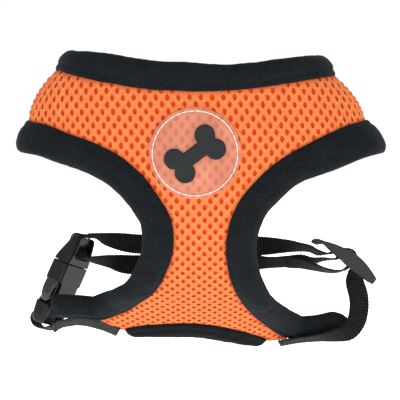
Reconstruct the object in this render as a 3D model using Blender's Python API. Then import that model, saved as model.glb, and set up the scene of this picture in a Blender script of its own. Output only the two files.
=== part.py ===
# Small-dog vest harness: air-mesh chest panel on a soft neck ring, puffy rolled bindings,
# a ribbed girth strap with side-release buckle and slider, and a leash D-ring at the back.
# Metres. +Z up, +Y towards the dog's back, -Y out of the chest, origin in the neck opening.
import math

import bmesh
import bpy
from mathutils import Matrix, Vector, geometry

for old in list(bpy.data.objects):
    bpy.data.objects.remove(old, do_unlink=True)

MM = 0.001

# Driving dimensions, millimetres unless named otherwise
NECK_HALF_WIDTH = 62.6
NECK_FRONT_DEPTH = 36.0
NECK_BACK_DEPTH = 26.0
NECK_LEAN = 2.0
CHEST_DROP = 24.7
CHEST_RADIUS = 96.6
CHEST_TILT_DEG = 62.0
BELLY_BEND = 12.0
MESH_THICK = 2.2
SEWN_GAP = 0.3
NECK_ROLL = 12.0
ARM_ROLL = 15.0
ROLL_HALF_THICK = 3.6
BADGE_R = 20.6
BADGE_THICK = 1.6
BADGE_V = 41.0
BADGE_X = -1.8
WEB_WIDTH = 10.0
WEB_THICK = 1.2
RING_WIRE = 2.6
BUCKLE_W = 20.0
BUCKLE_H = 9.5
SLIDER_L = 34.0
SLIDER_W = 17.0
SLIDER_H = 5.0

# Mesh edge of each piece on the form: (angle round the body in degrees, distance down in mm)
NECK_LEFT = [
    (-180, 11.0), (-150, 9.5), (-118, 5.0), (-92, 1.8), (-75, 2.0), (-57, 4.6), (-35, 8.6), (-16, 12.0),
]
NECK_RIGHT = [(0, 12.9), (16, 12.2), (35, 9.4), (57, 6.2), (75, 4.6), (92, 4.2), (118, 6.0), (150, 9.5)]
ARM_LEFT = [
    (-57, 157.2), (-46, 157.6), (-35.6, 156.8), (-25.6, 143.9), (-20.4, 132.2), (-15.3, 120.0), (-12.3, 110.2),
    (-9.4, 96.0), (-8.3, 84.0), (-9.3, 72.0), (-12.2, 63.3), (-15.6, 56.1), (-19.4, 50.1), (-25.6, 43.3),
    (-34.9, 37.4), (-48.5, 32.3), (-62.6, 27.6), (-88, 24.0), (-112, 23.5), (-148, 25.0), (-179.5, 26.5),
]
ARM_RIGHT = [
    (71, 177.6), (62, 180.4), (52, 181.6), (42.5, 181.4), (34.0, 179.0), (27.4, 169.8), (22.0, 156.3),
    (16.6, 138.7), (12.8, 121.6), (10.6, 110.1), (9.2, 97.2), (8.8, 87.2), (9.5, 77.1), (11.3, 69.0),
    (14.0, 61.6), (18.1, 54.8), (23.5, 47.8), (29.9, 42.1), (37.3, 37.5), (46.4, 33.3), (60.3, 28.6),
    (77.5, 24.8), (92, 23.6), (112, 23.5), (148, 25.0), (179.5, 26.5),
]
HEM_EDGE = [(-27.6, 165.6), (-19, 159.7), (-6, 156.0), (3.7, 158.0), (13.1, 164.9), (20, 172.0), (25.6, 178.4)]


# The form that the soft pieces lie on


def smooth(a, b, x):
    q = min(1.0, max(0.0, (x - a) / (b - a)))
    return q * q * (3 - 2 * q)


def profile(v):
    """Depth, height and tilt of the chest's centre line, v down from the neck's front edge."""
    if v < CHEST_DROP:
        return -NECK_FRONT_DEPTH, -v, 0.0
    most = math.radians(CHEST_TILT_DEG)
    t = min((v - CHEST_DROP) / CHEST_RADIUS, most)
    rest = v - CHEST_DROP - CHEST_RADIUS * t
    y = -NECK_FRONT_DEPTH + CHEST_RADIUS * (1 - math.cos(t)) + rest * math.sin(t)
    z = -CHEST_DROP - CHEST_RADIUS * math.sin(t) - rest * math.cos(t)
    return y, z, t


def form(angle, v):
    a = math.radians(angle)
    y, z, t = profile(v)
    w = min(max(v, 0.0), 39.2)
    half = NECK_HALF_WIDTH + 0.98 * w - 0.0125 * w * w + min(v, 0.0) * 0.4
    bend = NECK_FRONT_DEPTH - (NECK_FRONT_DEPTH - BELLY_BEND) * smooth(40, 125, v)
    lean = -NECK_LEAN * (1 - smooth(8, 40, v))
    if abs(angle) <= 90:
        lift = bend * (1 - math.cos(a))
        return Vector((lean + half * math.sin(a), y + lift * math.cos(t), z + lift * math.sin(t)))
    back = -NECK_BACK_DEPTH * math.cos(a)
    return Vector((lean + half * math.sin(a), y + bend * math.cos(t) + back, z + bend * math.sin(t)))


def out_of(angle, v):
    """The form's outward normal."""
    h = 0.05
    across = form(angle + h, v) - form(angle - h, v)
    down = form(angle, v + h) - form(angle, v - h)
    return down.cross(across).normalized()


def on_form(angle, v, off):
    return form(angle, v) + out_of(angle, v) * off


def spline(points, n):
    """Catmull-Rom through points given as tuples, n steps a span."""
    p = [Vector(q) for q in points]
    p = [p[0] * 2 - p[1]] + p + [p[-1] * 2 - p[-2]]
    done = []
    for i in range(1, len(p) - 2):
        for k in range(n):
            t = k / n
            a = p[i] * 2
            b = (p[i + 1] - p[i - 1]) * t
            c = (p[i - 1] * 2 - p[i] * 5 + p[i + 1] * 4 - p[i + 2]) * t * t
            d = (p[i] * 3 - p[i - 1] - p[i + 1] * 3 + p[i + 2]) * t * t * t
            done.append((a + b + c + d) * 0.5)
    done.append(p[-2])
    return done


def even(points, place, step):
    """The points along a path at even distances, place giving each one's position."""
    at = [place(q) for q in points]
    far = [0.0]
    for i in range(1, len(at)):
        far.append(far[-1] + (at[i] - at[i - 1]).length)
    n = max(2, round(far[-1] / step))
    done = []
    i = 0
    for k in range(n + 1):
        want = far[-1] * k / n
        while i < len(far) - 2 and far[i + 1] < want:
            i += 1
        t = (want - far[i]) / max(far[i + 1] - far[i], 1e-9)
        done.append(points[i].lerp(points[i + 1], min(max(t, 0.0), 1.0)))
    return done


def form_path(points, step):
    return even(spline([(a, v, 0) for a, v in points], 12), lambda q: form(q.x, q.y), step)


# Solids


def finish(name, bm, color, rough):
    for f in bm.faces:
        f.smooth = False
    bmesh.ops.recalc_face_normals(bm, faces=bm.faces)
    if bm.calc_volume(signed=True) < 0:
        bmesh.ops.reverse_faces(bm, faces=bm.faces)
    for v in bm.verts:
        v.co *= MM
    mesh = bpy.data.meshes.new(name)
    bm.to_mesh(mesh)
    bm.free()
    obj = bpy.data.objects.new(name, mesh)
    bpy.context.scene.collection.objects.link(obj)
    mat = bpy.data.materials.new(name)
    mat.use_nodes = True
    shader = mat.node_tree.nodes["Principled BSDF"]
    shader.inputs["Base Color"].default_value = (*color, 1)
    shader.inputs["Roughness"].default_value = rough
    mesh.materials.append(mat)
    return obj


def loft(name, rings, color, rough, closed=False):
    """A solid through rings of points; capped at both ends unless closed."""
    bm = bmesh.new()
    rows = [[bm.verts.new(p) for p in ring] for ring in rings]
    n = len(rows[0])
    pairs = list(zip(rows, rows[1:]))
    if closed:
        pairs.append((rows[-1], rows[0]))
    for a, b in pairs:
        for i in range(n):
            j = (i + 1) % n
            bm.faces.new((a[i], a[j], b[j], b[i]))
    if not closed:
        bm.faces.new(rows[0])
        bm.faces.new(list(reversed(rows[-1])))
    bmesh.ops.triangulate(bm, faces=[f for f in bm.faces if len(f.verts) > 4])
    return finish(name, bm, color, rough)


def roll_section(width, thick):
    """Puffy roll with a stitched flat lip at the mesh side, as (across, out) pairs."""
    w = width
    t = thick
    return [
        (SEWN_GAP, -1.5), (SEWN_GAP, 1.5), (2.3, 1.7), (3.0, 1.3), (0.32 * w, 0.82 * t), (0.52 * w, t),
        (0.74 * w, 0.92 * t), (0.91 * w, 0.6 * t), (w, 0.0), (0.91 * w, -0.6 * t), (0.74 * w, -0.9 * t),
        (0.52 * w, -0.95 * t), (0.32 * w, -0.8 * t), (2.8, -1.6),
    ]


def roll(name, path, side, width, thick, color, closed=False, turn=None):
    """A binding swept along a mesh edge; side is +1 where it lies to the right of the path."""
    rings = []
    n = len(path)
    for i, q in enumerate(path):
        before = path[i - 1] if closed or i else path[0]
        after = path[(i + 1) % n] if closed or i < n - 1 else path[-1]
        along = (form(after.x, after.y) - form(before.x, before.y)).normalized()
        if closed and abs(after.x - before.x) > 90:
            along = Vector((-1, 0, 0)) if form(q.x, q.y).y > 0 else Vector((1, 0, 0))
        out = out_of(q.x, q.y)
        across = along.cross(out).normalized() * side
        out = across.cross(along).normalized() * side
        if out.dot(out_of(q.x, q.y)) < 0:
            out = -out
        grow = 1.0
        if not closed:
            grow = min(1.0, 0.55 + 0.16 * min(i, n - 1 - i))
        slip = 0.0
        if turn:
            r = math.radians(turn(q))
            slip = 1.8 * math.sin(r)
            across, out = across * math.cos(r) - out * math.sin(r), out * math.cos(r) + across * math.sin(r)
        w = width(q) if callable(width) else width
        p = form(q.x, q.y)
        rings.append([p + across * (e + slip) + out * o * grow for e, o in roll_section(w, thick)])
    return loft(name, rings, color, 0.95, closed)


def ribbon(name, stations, width, thick, color, step=4.0, closed=False):
    """A flat strap through (position, width direction) stations."""
    flat = [(*p, *w) for p, w in stations]
    points = [Vector(q[:3]) for q in flat]
    wide = [Vector(q[3:]).normalized() for q in flat]
    centre = spline([tuple(p) for p in points], 8)
    turn = spline([tuple(w) for w in wide], 8)
    keep = even([Vector((i, 0, 0)) for i in range(len(centre))], lambda q: centre[round(q.x)], step)
    rings = []
    last = None
    for k, q in enumerate(keep):
        i = min(int(q.x), len(centre) - 2)
        t = q.x - i
        p = centre[i].lerp(centre[i + 1], t)
        if last is not None and (p - last).length < 0.2:
            continue
        along = (centre[min(i + 2, len(centre) - 1)] - centre[max(i - 1, 0)]).normalized()
        w = turn[i].lerp(turn[i + 1], t)
        w = (w - along * w.dot(along)).normalized()
        n = along.cross(w).normalized()
        a = w * width / 2
        b = n * thick / 2
        rings.append([p - a - b, p + a - b, p + a + b, p - a + b])
        last = p
    return loft(name, rings, color, 0.9, closed)


def flat_piece(name, outline, low, high, spacing, place, color, rough):
    """A thin solid with a flat outline, gridded and laid by place(x, y, off)."""
    flat = [Vector(p) for p in outline]
    n = len(flat)
    xs = [p.x for p in flat]
    ys = [p.y for p in flat]
    inner = []
    row = 0
    y = min(ys) + spacing / 2
    while y < max(ys):
        x = min(xs) + (spacing / 2 if row % 2 else spacing)
        while x < max(xs):
            q = Vector((x, y))
            inside = False
            near = 1e9
            for i in range(n):
                a = flat[i]
                b = flat[(i + 1) % n]
                if (a.y > y) != (b.y > y) and x < a.x + (y - a.y) / (b.y - a.y) * (b.x - a.x):
                    inside = not inside
                d = b - a
                t = min(1.0, max(0.0, (q - a).dot(d) / max(d.length_squared, 1e-12)))
                near = min(near, (q - a - d * t).length)
            if inside and near > 0.45 * spacing:
                inner.append(q)
            x += spacing
        y += spacing * 0.87
        row += 1
    got = geometry.delaunay_2d_cdt(flat + inner, [(i, (i + 1) % n) for i in range(n)], [], 1, 1e-6)
    bm = bmesh.new()
    top = [bm.verts.new(place(p.x, p.y, high)) for p in got[0]]
    bottom = [bm.verts.new(place(p.x, p.y, low)) for p in got[0]]
    used = {}
    for f in got[2]:
        bm.faces.new([top[i] for i in f])
        bm.faces.new([bottom[i] for i in reversed(f)])
        for i in range(len(f)):
            e = (f[i], f[(i + 1) % len(f)])
            used[e] = used.get(e, 0) + 1
    for a, b in used:
        if (b, a) not in used:
            bm.faces.new((top[b], top[a], bottom[a], bottom[b]))
    for v in [v for v in bm.verts if not v.link_faces]:
        bm.verts.remove(v)
    return finish(name, bm, color, rough)


ORANGE = (0.95, 0.33, 0.11)
BLACK = (0.018, 0.021, 0.025)
WEB = (0.015, 0.016, 0.018)
PLASTIC = (0.012, 0.012, 0.014)
METAL = (0.55, 0.56, 0.58)

# Chest panel

SPREAD = 1.3


neck_across = form_path([q for q in NECK_LEFT + NECK_RIGHT if abs(q[0]) <= 92], 5.0)
arm_left_path = form_path(ARM_LEFT, 4.2)
arm_right_path = form_path(ARM_RIGHT, 4.2)
hem_path = form_path(HEM_EDGE, 5.0)
SEAM = 89.7

edge = [(q.x, q.y) for q in neck_across if abs(q.x) < SEAM - 2]
neck_at = [(q.x, q.y) for q in neck_across]


def level(path, angle):
    """The distance down at which a path crosses an angle."""
    for a, b in zip(path, path[1:]):
        if (a[0] - angle) * (b[0] - angle) <= 0 and a[0] != b[0]:
            return a[1] + (b[1] - a[1]) * (angle - a[0]) / (b[0] - a[0])
    return path[-1][1]


left_at = [(q.x, q.y) for q in arm_left_path]
right_at = [(q.x, q.y) for q in arm_right_path]
outline = [(-SEAM, level(neck_at, -SEAM))] + edge + [(SEAM, level(neck_at, SEAM))]
outline.append((SEAM, level(right_at, SEAM)))
outline += [q for q in reversed(right_at) if q[0] < SEAM - 2 and (q[1] < 178.3 and q[0] < 33 or q[1] < 150)]
outline.append((32.4, 178.0))
outline += [(q.x, q.y) for q in reversed(hem_path)]
outline += [q for q in left_at if -SEAM + 2 < q[0] and (q[0] > -35.5 or q[1] < 60)]
outline.append((-SEAM, level(left_at, -SEAM)))
flat_piece(
    "chest_mesh_panel",
    [(a * SPREAD, v) for a, v in outline],
    -MESH_THICK / 2,
    MESH_THICK / 2,
    6.5,
    lambda x, v, off: on_form(x / SPREAD, v, off),
    ORANGE,
    0.8,
)

# Nape band, the back half of the neck ring

rows = []
for k in range(29):
    angle = 90.3 + (269.7 - 90.3) * k / 28
    fold = angle if angle <= 180 else angle - 360
    top = level(NECK_RIGHT + [(180, 11.0)] if fold > 0 else NECK_LEFT, fold)
    low = level([(abs(a), v) for a, v in ARM_LEFT if a < -60], min(abs(fold), 179.4))
    ring = []
    for j in range(4):
        ring.append(on_form(fold, top + 0.25 + (low - top - 0.5) * j / 3, MESH_THICK / 2))
    for j in range(3, -1, -1):
        ring.append(on_form(fold, top + 0.25 + (low - top - 0.5) * j / 3, -MESH_THICK / 2))
    rows.append(ring)
loft("nape_mesh_band", rows, ORANGE, 0.8)

# Puffy rolled bindings

neck_loop = form_path(NECK_LEFT + NECK_RIGHT + [(180, 11.0)], 4.4)[:-1]
roll("neck_binding", neck_loop, -1, NECK_ROLL, ROLL_HALF_THICK, BLACK, closed=True)


def left_turn(q):
    return 20.0 * smooth(120, 150, q.y)


def right_turn(q):
    return 20.0 * smooth(130, 172, q.y)


def right_width(q):
    return ARM_ROLL + 2.2 * smooth(25, 45, q.x) * (1 - smooth(80, 150, q.x)) * (1 - smooth(80, 120, q.y))


roll("armhole_binding_left", arm_left_path, -1, ARM_ROLL, ROLL_HALF_THICK, BLACK, turn=left_turn)
roll("armhole_binding_right", arm_right_path, 1, right_width, ROLL_HALF_THICK, BLACK, turn=right_turn)


def hem_width(q):
    return 6.5 + 7.5 * (1 - abs((q.x + 1) / 27) ** 2.2)


roll("hem_binding", hem_path, 1, hem_width, 3.2, BLACK)

# Badge


def badge_place(x, y, off):
    v = BADGE_V + y
    w = min(39.2, v)
    half = NECK_HALF_WIDTH + 0.98 * w - 0.0125 * w * w
    lean = -NECK_LEAN * (1 - smooth(8, 40, v))
    angle = math.degrees(math.asin((x + BADGE_X - lean) / half))
    return on_form(angle, v, off)


def circle(r, n):
    return [(r * math.cos(2 * math.pi * k / n), r * math.sin(2 * math.pi * k / n)) for k in range(n)]


BADGE_LOW = MESH_THICK / 2 + SEWN_GAP
BADGE_TOP = BADGE_LOW + BADGE_THICK
flat_piece("badge_disc", circle(BADGE_R, 48), BADGE_LOW, BADGE_TOP, 6.0, badge_place, (0.9, 0.36, 0.22), 0.35)

BONE_HALF = 8.6
BONE_SHAFT = 3.4
KNOB_R = 4.6
KNOB_OUT = 3.9
BONE_TURN = math.radians(-38)


def bone():
    pts = []
    knob = math.asin((KNOB_OUT - BONE_SHAFT) / KNOB_R)
    for sx, sy in ((1, 1), (1, -1), (-1, -1), (-1, 1)):
        arc = []
        start = math.pi + knob
        stop = -math.asin(KNOB_OUT / KNOB_R)
        for k in range(9):
            a = start + (stop - start) * k / 8
            arc.append((BONE_HALF + KNOB_R * math.cos(a), KNOB_OUT + KNOB_R * math.sin(a)))
        arc = [(x * sx, y * sy) for x, y in arc]
        if sx * sy < 0:
            arc.reverse()
        pts += arc
    done = []
    for x, y in pts:
        if not done or math.hypot(x - done[-1][0], y - done[-1][1]) > 0.2:
            done.append((x, y))
    c = math.cos(BONE_TURN)
    s = math.sin(BONE_TURN)
    return [(x * c - y * s, x * s + y * c) for x, y in done]


EMBLEM_COLOR = (0.035, 0.042, 0.045)
flat_piece("badge_emblem", bone(), BADGE_TOP + 0.1, BADGE_TOP + 1.1, 4.5, badge_place, EMBLEM_COLOR, 0.5)

STITCH_R = 18.9
rings = []
for k in range(48):
    a = 2 * math.pi * k / 48
    ring = []
    for r, off in ((-0.45, 0.1), (0.45, 0.1), (0.45, 0.7), (-0.45, 0.7)):
        ring.append(badge_place((STITCH_R + r) * math.cos(a), (STITCH_R + r) * math.sin(a), BADGE_TOP + off))
    rings.append(ring)
loft("badge_stitch_ring", rings, (0.85, 0.8, 0.76), 0.8, closed=True)

# Buckle: long axis, thickness and width directions, and its centre between the two halves

BUCKLE_AT = Vector((-67.5, 48.2, -101.6))
LONG = Vector((0.40, 0.0, 0.9165)).normalized()
THICK = Vector((0.793, -0.50, -0.346))
THICK = (THICK - LONG * THICK.dot(LONG)).normalized()
WIDE = LONG.cross(THICK).normalized()
BAR_L = 20.6
BAR_HALF = 1.5


def from_axes(at, wide, long, thick):
    m = Matrix((wide, long, thick)).transposed().to_4x4()
    return Matrix.Translation(at) @ m


BUCKLE = from_axes(BUCKLE_AT, WIDE, LONG, THICK)


def plate(outline, layers):
    """A solid from an outline, with (height, inset) layers."""
    n = len(outline)
    cx = sum(p[0] for p in outline) / n
    cy = (max(p[1] for p in outline) + min(p[1] for p in outline)) / 2
    wide = max(abs(p[0] - cx) for p in outline)
    tall = max(abs(p[1] - cy) for p in outline)
    bm = bmesh.new()
    rows = []
    for h, inset in layers:
        sx = 1 - inset / wide
        sy = 1 - inset / tall
        rows.append([bm.verts.new((cx + (x - cx) * sx, cy + (y - cy) * sy, h)) for x, y in outline])
    for a, b in zip(rows, rows[1:]):
        for i in range(n):
            j = (i + 1) % n
            bm.faces.new((a[i], a[j], b[j], b[i]))
    bm.faces.new(list(reversed(rows[0])))
    bm.faces.new(rows[-1])
    bmesh.ops.recalc_face_normals(bm, faces=bm.faces)
    return bm


def box(x0, x1, y0, y1, z0, z1):
    return plate([(x0, y0), (x1, y0), (x1, y1), (x0, y1)], [(z0, 0), (z1, 0)])


def carved(name, bm, cutters, matrix, color, rough):
    """bm less the cutters, placed by matrix."""
    mesh = bpy.data.meshes.new("carve")
    bm.to_mesh(mesh)
    bm.free()
    obj = bpy.data.objects.new("carve", mesh)
    bpy.context.scene.collection.objects.link(obj)
    tools = []
    for c in cutters:
        m = bpy.data.meshes.new("cut")
        c.to_mesh(m)
        c.free()
        tool = bpy.data.objects.new("cut", m)
        bpy.context.scene.collection.objects.link(tool)
        mod = obj.modifiers.new("cut", "BOOLEAN")
        mod.operation = "DIFFERENCE"
        mod.solver = "EXACT"
        mod.object = tool
        tools.append(tool)
    bpy.context.view_layer.update()
    got = bpy.data.meshes.new_from_object(obj.evaluated_get(bpy.context.evaluated_depsgraph_get()))
    for o in [obj] + tools:
        bpy.data.objects.remove(o, do_unlink=True)
    done = bmesh.new()
    done.from_mesh(got)
    bpy.data.meshes.remove(got)
    bmesh.ops.remove_doubles(done, verts=done.verts, dist=1e-4)
    bmesh.ops.transform(done, matrix=matrix, verts=done.verts)
    return finish(name, done, color, rough)


def both(half):
    return half + [(-x, y) for x, y in reversed(half)]


HALF_H = BUCKLE_H / 2
half = BUCKLE_W / 2
slot = WEB_WIDTH / 2 + 0.7
inside = half - 2.4
shell = plate(
    both([(half, 6.1), (half, -6.0), (half - 0.4, -12.0), (half - 1.3, -17.5), (half - 3.2, -22.6)]),
    [(-HALF_H, 1.0), (-HALF_H + 1.2, 0.0), (HALF_H - 1.2, 0.0), (HALF_H, 1.0)],
)
carved(
    "buckle_female",
    shell,
    [
        box(-inside, inside, -12.5, 8.0, -2.6, 2.6),
        box(inside - 0.8, 14.0, -10.2, -0.6, -3.0, 3.0),
        box(-14.0, 0.8 - inside, -10.2, -0.6, -3.0, 3.0),
        box(-slot, slot, -BAR_L + BAR_HALF, -14.2, -6.0, 6.0),
        box(-slot, slot, -24.0, -17.0, BAR_HALF, 6.0),
        box(-slot, slot, -24.0, -17.0, -6.0, -BAR_HALF),
        box(-slot, slot, -24.0, -BAR_L - BAR_HALF, -6.0, 6.0),
    ],
    BUCKLE,
    PLASTIC,
    0.35,
)

base = plate(
    both([(half - 2.6, 22.4), (half - 1.0, 17.0), (half - 0.2, 11.0), (half - 0.2, 6.4)]),
    [(-HALF_H + 0.2, 1.0), (-HALF_H + 1.3, 0.0), (HALF_H - 1.3, 0.0), (HALF_H - 0.2, 1.0)],
)
tongue = box(-1.3, 1.3, 0.5, 8.0, -1.8, 1.8)
parts = []
for m in (base, tongue):
    mesh = bpy.data.meshes.new("joined")
    m.to_mesh(mesh)
    m.free()
    parts.append(bpy.data.objects.new("joined", mesh))
    bpy.context.scene.collection.objects.link(parts[-1])
mod = parts[0].modifiers.new("join", "BOOLEAN")
mod.operation = "UNION"
mod.solver = "EXACT"
mod.object = parts[1]
bpy.context.view_layer.update()
joined = bpy.data.meshes.new_from_object(parts[0].evaluated_get(bpy.context.evaluated_depsgraph_get()))
for o in parts:
    bpy.data.objects.remove(o, do_unlink=True)
base = bmesh.new()
base.from_mesh(joined)
bpy.data.meshes.remove(joined)
carved(
    "buckle_male",
    base,
    [
        box(-slot, slot, 11.0, BAR_L - BAR_HALF, -6.0, 6.0),
        box(-slot, slot, 17.0, 24.0, BAR_HALF, 6.0),
        box(-slot, slot, 17.0, 24.0, -6.0, -BAR_HALF),
        box(-slot, slot, BAR_L + BAR_HALF, 24.0, -6.0, 6.0),
    ],
    BUCKLE,
    PLASTIC,
    0.35,
)

for name, s in (("buckle_prong_left", -1), ("buckle_prong_right", 1)):
    arm = [
        (3.4, 6.1), (3.4, -5.5), (4.4, -9.6), (6.2, -10.6), (8.1, -8.6), (9.2, -4.8), (9.5, -2.2), (9.2, -1.0),
        (5.9, -1.0), (5.5, 0.4), (5.6, 6.1),
    ]
    prong = plate([(x * s, y) for x, y in arm], [(-2.1, 0.4), (-1.7, 0.0), (1.7, 0.0), (2.1, 0.4)])
    bmesh.ops.triangulate(prong, faces=prong.faces)
    bmesh.ops.transform(prong, matrix=BUCKLE, verts=prong.verts)
    finish(name, prong, PLASTIC, 0.25)

# Slider: strap direction up and to the left, width in depth

SLIDER_AT = Vector((72.4, 44.0, -91.5))
SL_LONG = Vector((-0.835, 0.0, 0.55)).normalized()
SL_WIDE = Vector((0.0, 1.0, 0.0))
SL_OUT = SL_WIDE.cross(SL_LONG).normalized()
if SL_OUT.z < 0:
    SL_OUT = -SL_OUT
SLIDER = from_axes(SLIDER_AT, SL_WIDE, SL_LONG, SL_OUT)
SLIDER_BAR = 1.4
SLIDER_ARCH = 1.6

half_l = SLIDER_L / 2
half_w = SLIDER_W / 2
rail = half_w - 2.8
slab = plate(
    [
        (-half_w + 1.5, -half_l), (half_w - 1.5, -half_l), (half_w, -half_l + 2.0), (half_w, half_l - 2.0),
        (half_w - 1.5, half_l), (-half_w + 1.5, half_l), (-half_w, half_l - 2.0), (-half_w, -half_l + 2.0),
    ],
    [(-SLIDER_H / 2, 0.5), (-SLIDER_H / 2 + 0.6, 0.0), (SLIDER_H / 2 - 0.6, 0.0), (SLIDER_H / 2, 0.5)],
)
for y in (-12.0, -8.0, -4.0, 0.0, 4.0, 8.0, 12.0):
    bmesh.ops.bisect_plane(
        slab, geom=slab.verts[:] + slab.edges[:] + slab.faces[:], plane_co=(0, y, 0), plane_no=(0, 1, 0)
    )
carved(
    "slider",
    slab,
    [
        box(-rail, rail, SLIDER_BAR, 12.6, -8, 8),
        box(-rail, rail, -12.6, -SLIDER_BAR, -8, 8),
        box(-rail, rail, -3.0, 3.0, 1.1, 8),
        box(-rail, rail, -3.0, 3.0, -8, -1.1),
    ],
    SLIDER,
    PLASTIC,
    0.35,
)


def arch(obj, at, long, out):
    """Bows a plate along its length."""
    a = at * MM
    for v in obj.data.vertices:
        d = (v.co - a).dot(long) / MM
        v.co += out * MM * SLIDER_ARCH * (1 - (d / half_l) ** 2) - out * MM * SLIDER_ARCH


arch(bpy.data.objects["slider"], SLIDER_AT, SL_LONG, SL_OUT)


def in_slider(long, out):
    return tuple(SLIDER_AT + SL_LONG * long + SL_OUT * out)


def in_buckle(long, thick, wide=0.0):
    return tuple(BUCKLE_AT + LONG * long + THICK * thick + WIDE * wide)


# Girth strap, one piece: right wing, slider, outer ply, buckle bar, inner ply, sewn eye on the slider

DOWN = (0.0, 0.85, -0.53)
BACK = (0.0, 1.0, 0.0)
UPRIGHT = (0.0, 0.0, -1.0)
WRAP = BAR_HALF + 1.8
stations = [
    ((40.5, 57.0, -134.6), DOWN),
    ((50.0, 55.6, -133.4), DOWN),
    ((60.0, 54.0, -132.0), DOWN),
    ((70.0, 52.4, -130.8), (-0.05, 0.86, -0.5)),
    ((77.6, 50.6, -128.2), (-0.3, 0.9, -0.2)),
    ((82.0, 48.4, -122.4), (-0.7, 0.7, 0.1)),
    ((81.8, 46.6, -115.4), (-0.95, 0.3, 0.0)),
    ((80.4, 45.4, -109.5), (-0.97, 0.2, 0.0)),
    ((79.0, 44.4, -103.8), (-0.6, 0.8, 0.0)),
    (in_slider(-11.5, -5.3), BACK),
    (in_slider(-7.2, -2.6), BACK),
    (in_slider(-5.0, 1.9), BACK),
    (in_slider(0.0, 4.4), BACK),
    (in_slider(5.0, 1.9), BACK),
    (in_slider(7.8, -2.4), BACK),
    (in_slider(12.5, -5.8), BACK),
    (in_slider(17.5, -6.8), BACK),
    ((49.0, 43.8, -85.6), (0.0, 0.7, -0.7)),
    ((41.0, 43.0, -85.0), (0.0, 0.25, -0.95)),
    ((24.0, 42.0, -84.8), UPRIGHT),
    ((0.0, 42.0, -84.6), UPRIGHT),
    ((-22.0, 41.6, -84.0), UPRIGHT),
    ((-33.0, 41.4, -83.6), (0.0, 0.1, -1.0)),
    (in_buckle(26.4, 11.0), (0.25, 0.75, -0.6)),
    (in_buckle(25.2, 5.0), WIDE),
    (in_buckle(BAR_L + WRAP, 0.8), WIDE),
    (in_buckle(BAR_L + WRAP * 0.75, -WRAP * 0.75), WIDE),
    (in_buckle(BAR_L, -WRAP), WIDE),
    (in_buckle(BAR_L - WRAP * 0.8, -WRAP * 0.7), WIDE),
    (in_buckle(BAR_L - WRAP - 0.6, 0.6), WIDE),
    (in_buckle(13.6, 5.8), WIDE),
    ((-44.5, 42.6, -92.6), (0.15, 0.7, -0.7)),
    ((-34.0, 44.0, -94.2), (0.0, 0.1, -1.0)),
    ((-20.0, 45.2, -93.8), UPRIGHT),
    ((0.0, 45.8, -92.4), UPRIGHT),
    ((20.0, 45.6, -91.0), UPRIGHT),
    ((35.0, 45.0, -91.4), (0.0, 0.25, -0.95)),
    ((46.0, 44.4, -92.6), (0.0, 0.85, -0.5)),
    (in_slider(13.0, -11.2), BACK),
    (in_slider(7.5, -7.6), BACK),
    (in_slider(3.4, -2.2), BACK),
    (in_slider(2.9, 0.9), BACK),
    (in_slider(0.0, 2.5), BACK),
    (in_slider(-2.9, 0.9), BACK),
    (in_slider(-3.2, -2.6), BACK),
    (in_slider(0.5, -7.4), BACK),
    (in_slider(6.5, -11.4), BACK),
]
ribbon("girth_strap", stations, WEB_WIDTH, WEB_THICK, WEB, step=2.2)

# Left tab: sewn under the wing and looped through the female half's bar

stations = [
    ((-40.5, 50.5, -128.4), DOWN),
    ((-50.0, 49.6, -125.4), DOWN),
    ((-60.0, 48.8, -124.2), (0.05, 0.86, -0.5)),
    ((-68.5, 48.6, -125.4), (0.15, 0.87, -0.4)),
    (in_buckle(-BAR_L - WRAP * 1.4, 4.6, 0.7), WIDE),
    (in_buckle(-BAR_L - WRAP * 1.2, 1.4, 0.2), WIDE),
    (in_buckle(-BAR_L - WRAP * 0.9, -WRAP * 0.5), WIDE),
    (in_buckle(-BAR_L - WRAP * 0.3, -WRAP * 0.95), WIDE),
    (in_buckle(-BAR_L + WRAP * 0.6, -WRAP * 0.8), WIDE),
    (in_buckle(-BAR_L + WRAP, 0.0), WIDE),
    (in_buckle(-BAR_L + WRAP, 3.6), WIDE),
]
ribbon("left_wing_tab", stations, WEB_WIDTH, WEB_THICK, WEB, step=2.2)

# Back connector: from the nape down and round both plies of the girth strap

NAPE_Y = form(180, 20).y + ROLL_HALF_THICK + 1.2
ACROSS = (1.0, 0.0, 0.0)
stations = [
    ((0.0, NAPE_Y, -14.0), ACROSS),
    ((0.0, NAPE_Y, -26.0), ACROSS),
    ((0.0, NAPE_Y + 0.3, -40.0), ACROSS),
    ((0.0, NAPE_Y + 1.4, -56.0), ACROSS),
    ((0.0, NAPE_Y + 8.0, -68.0), ACROSS),
    ((0.0, 46.0, -75.5), ACROSS),
    ((0.0, 49.2, -81.0), ACROSS),
    ((0.0, 49.6, -89.0), ACROSS),
    ((0.0, 49.2, -98.0), ACROSS),
    ((0.0, 44.0, -101.4), ACROSS),
    ((0.0, 39.0, -98.0), ACROSS),
    ((0.0, 38.6, -88.0), ACROSS),
    ((0.0, 38.6, -79.5), ACROSS),
]
ribbon("back_connector_webbing", stations, WEB_WIDTH, WEB_THICK, WEB, step=3.0)

# D-ring and the tab that holds it

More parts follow.
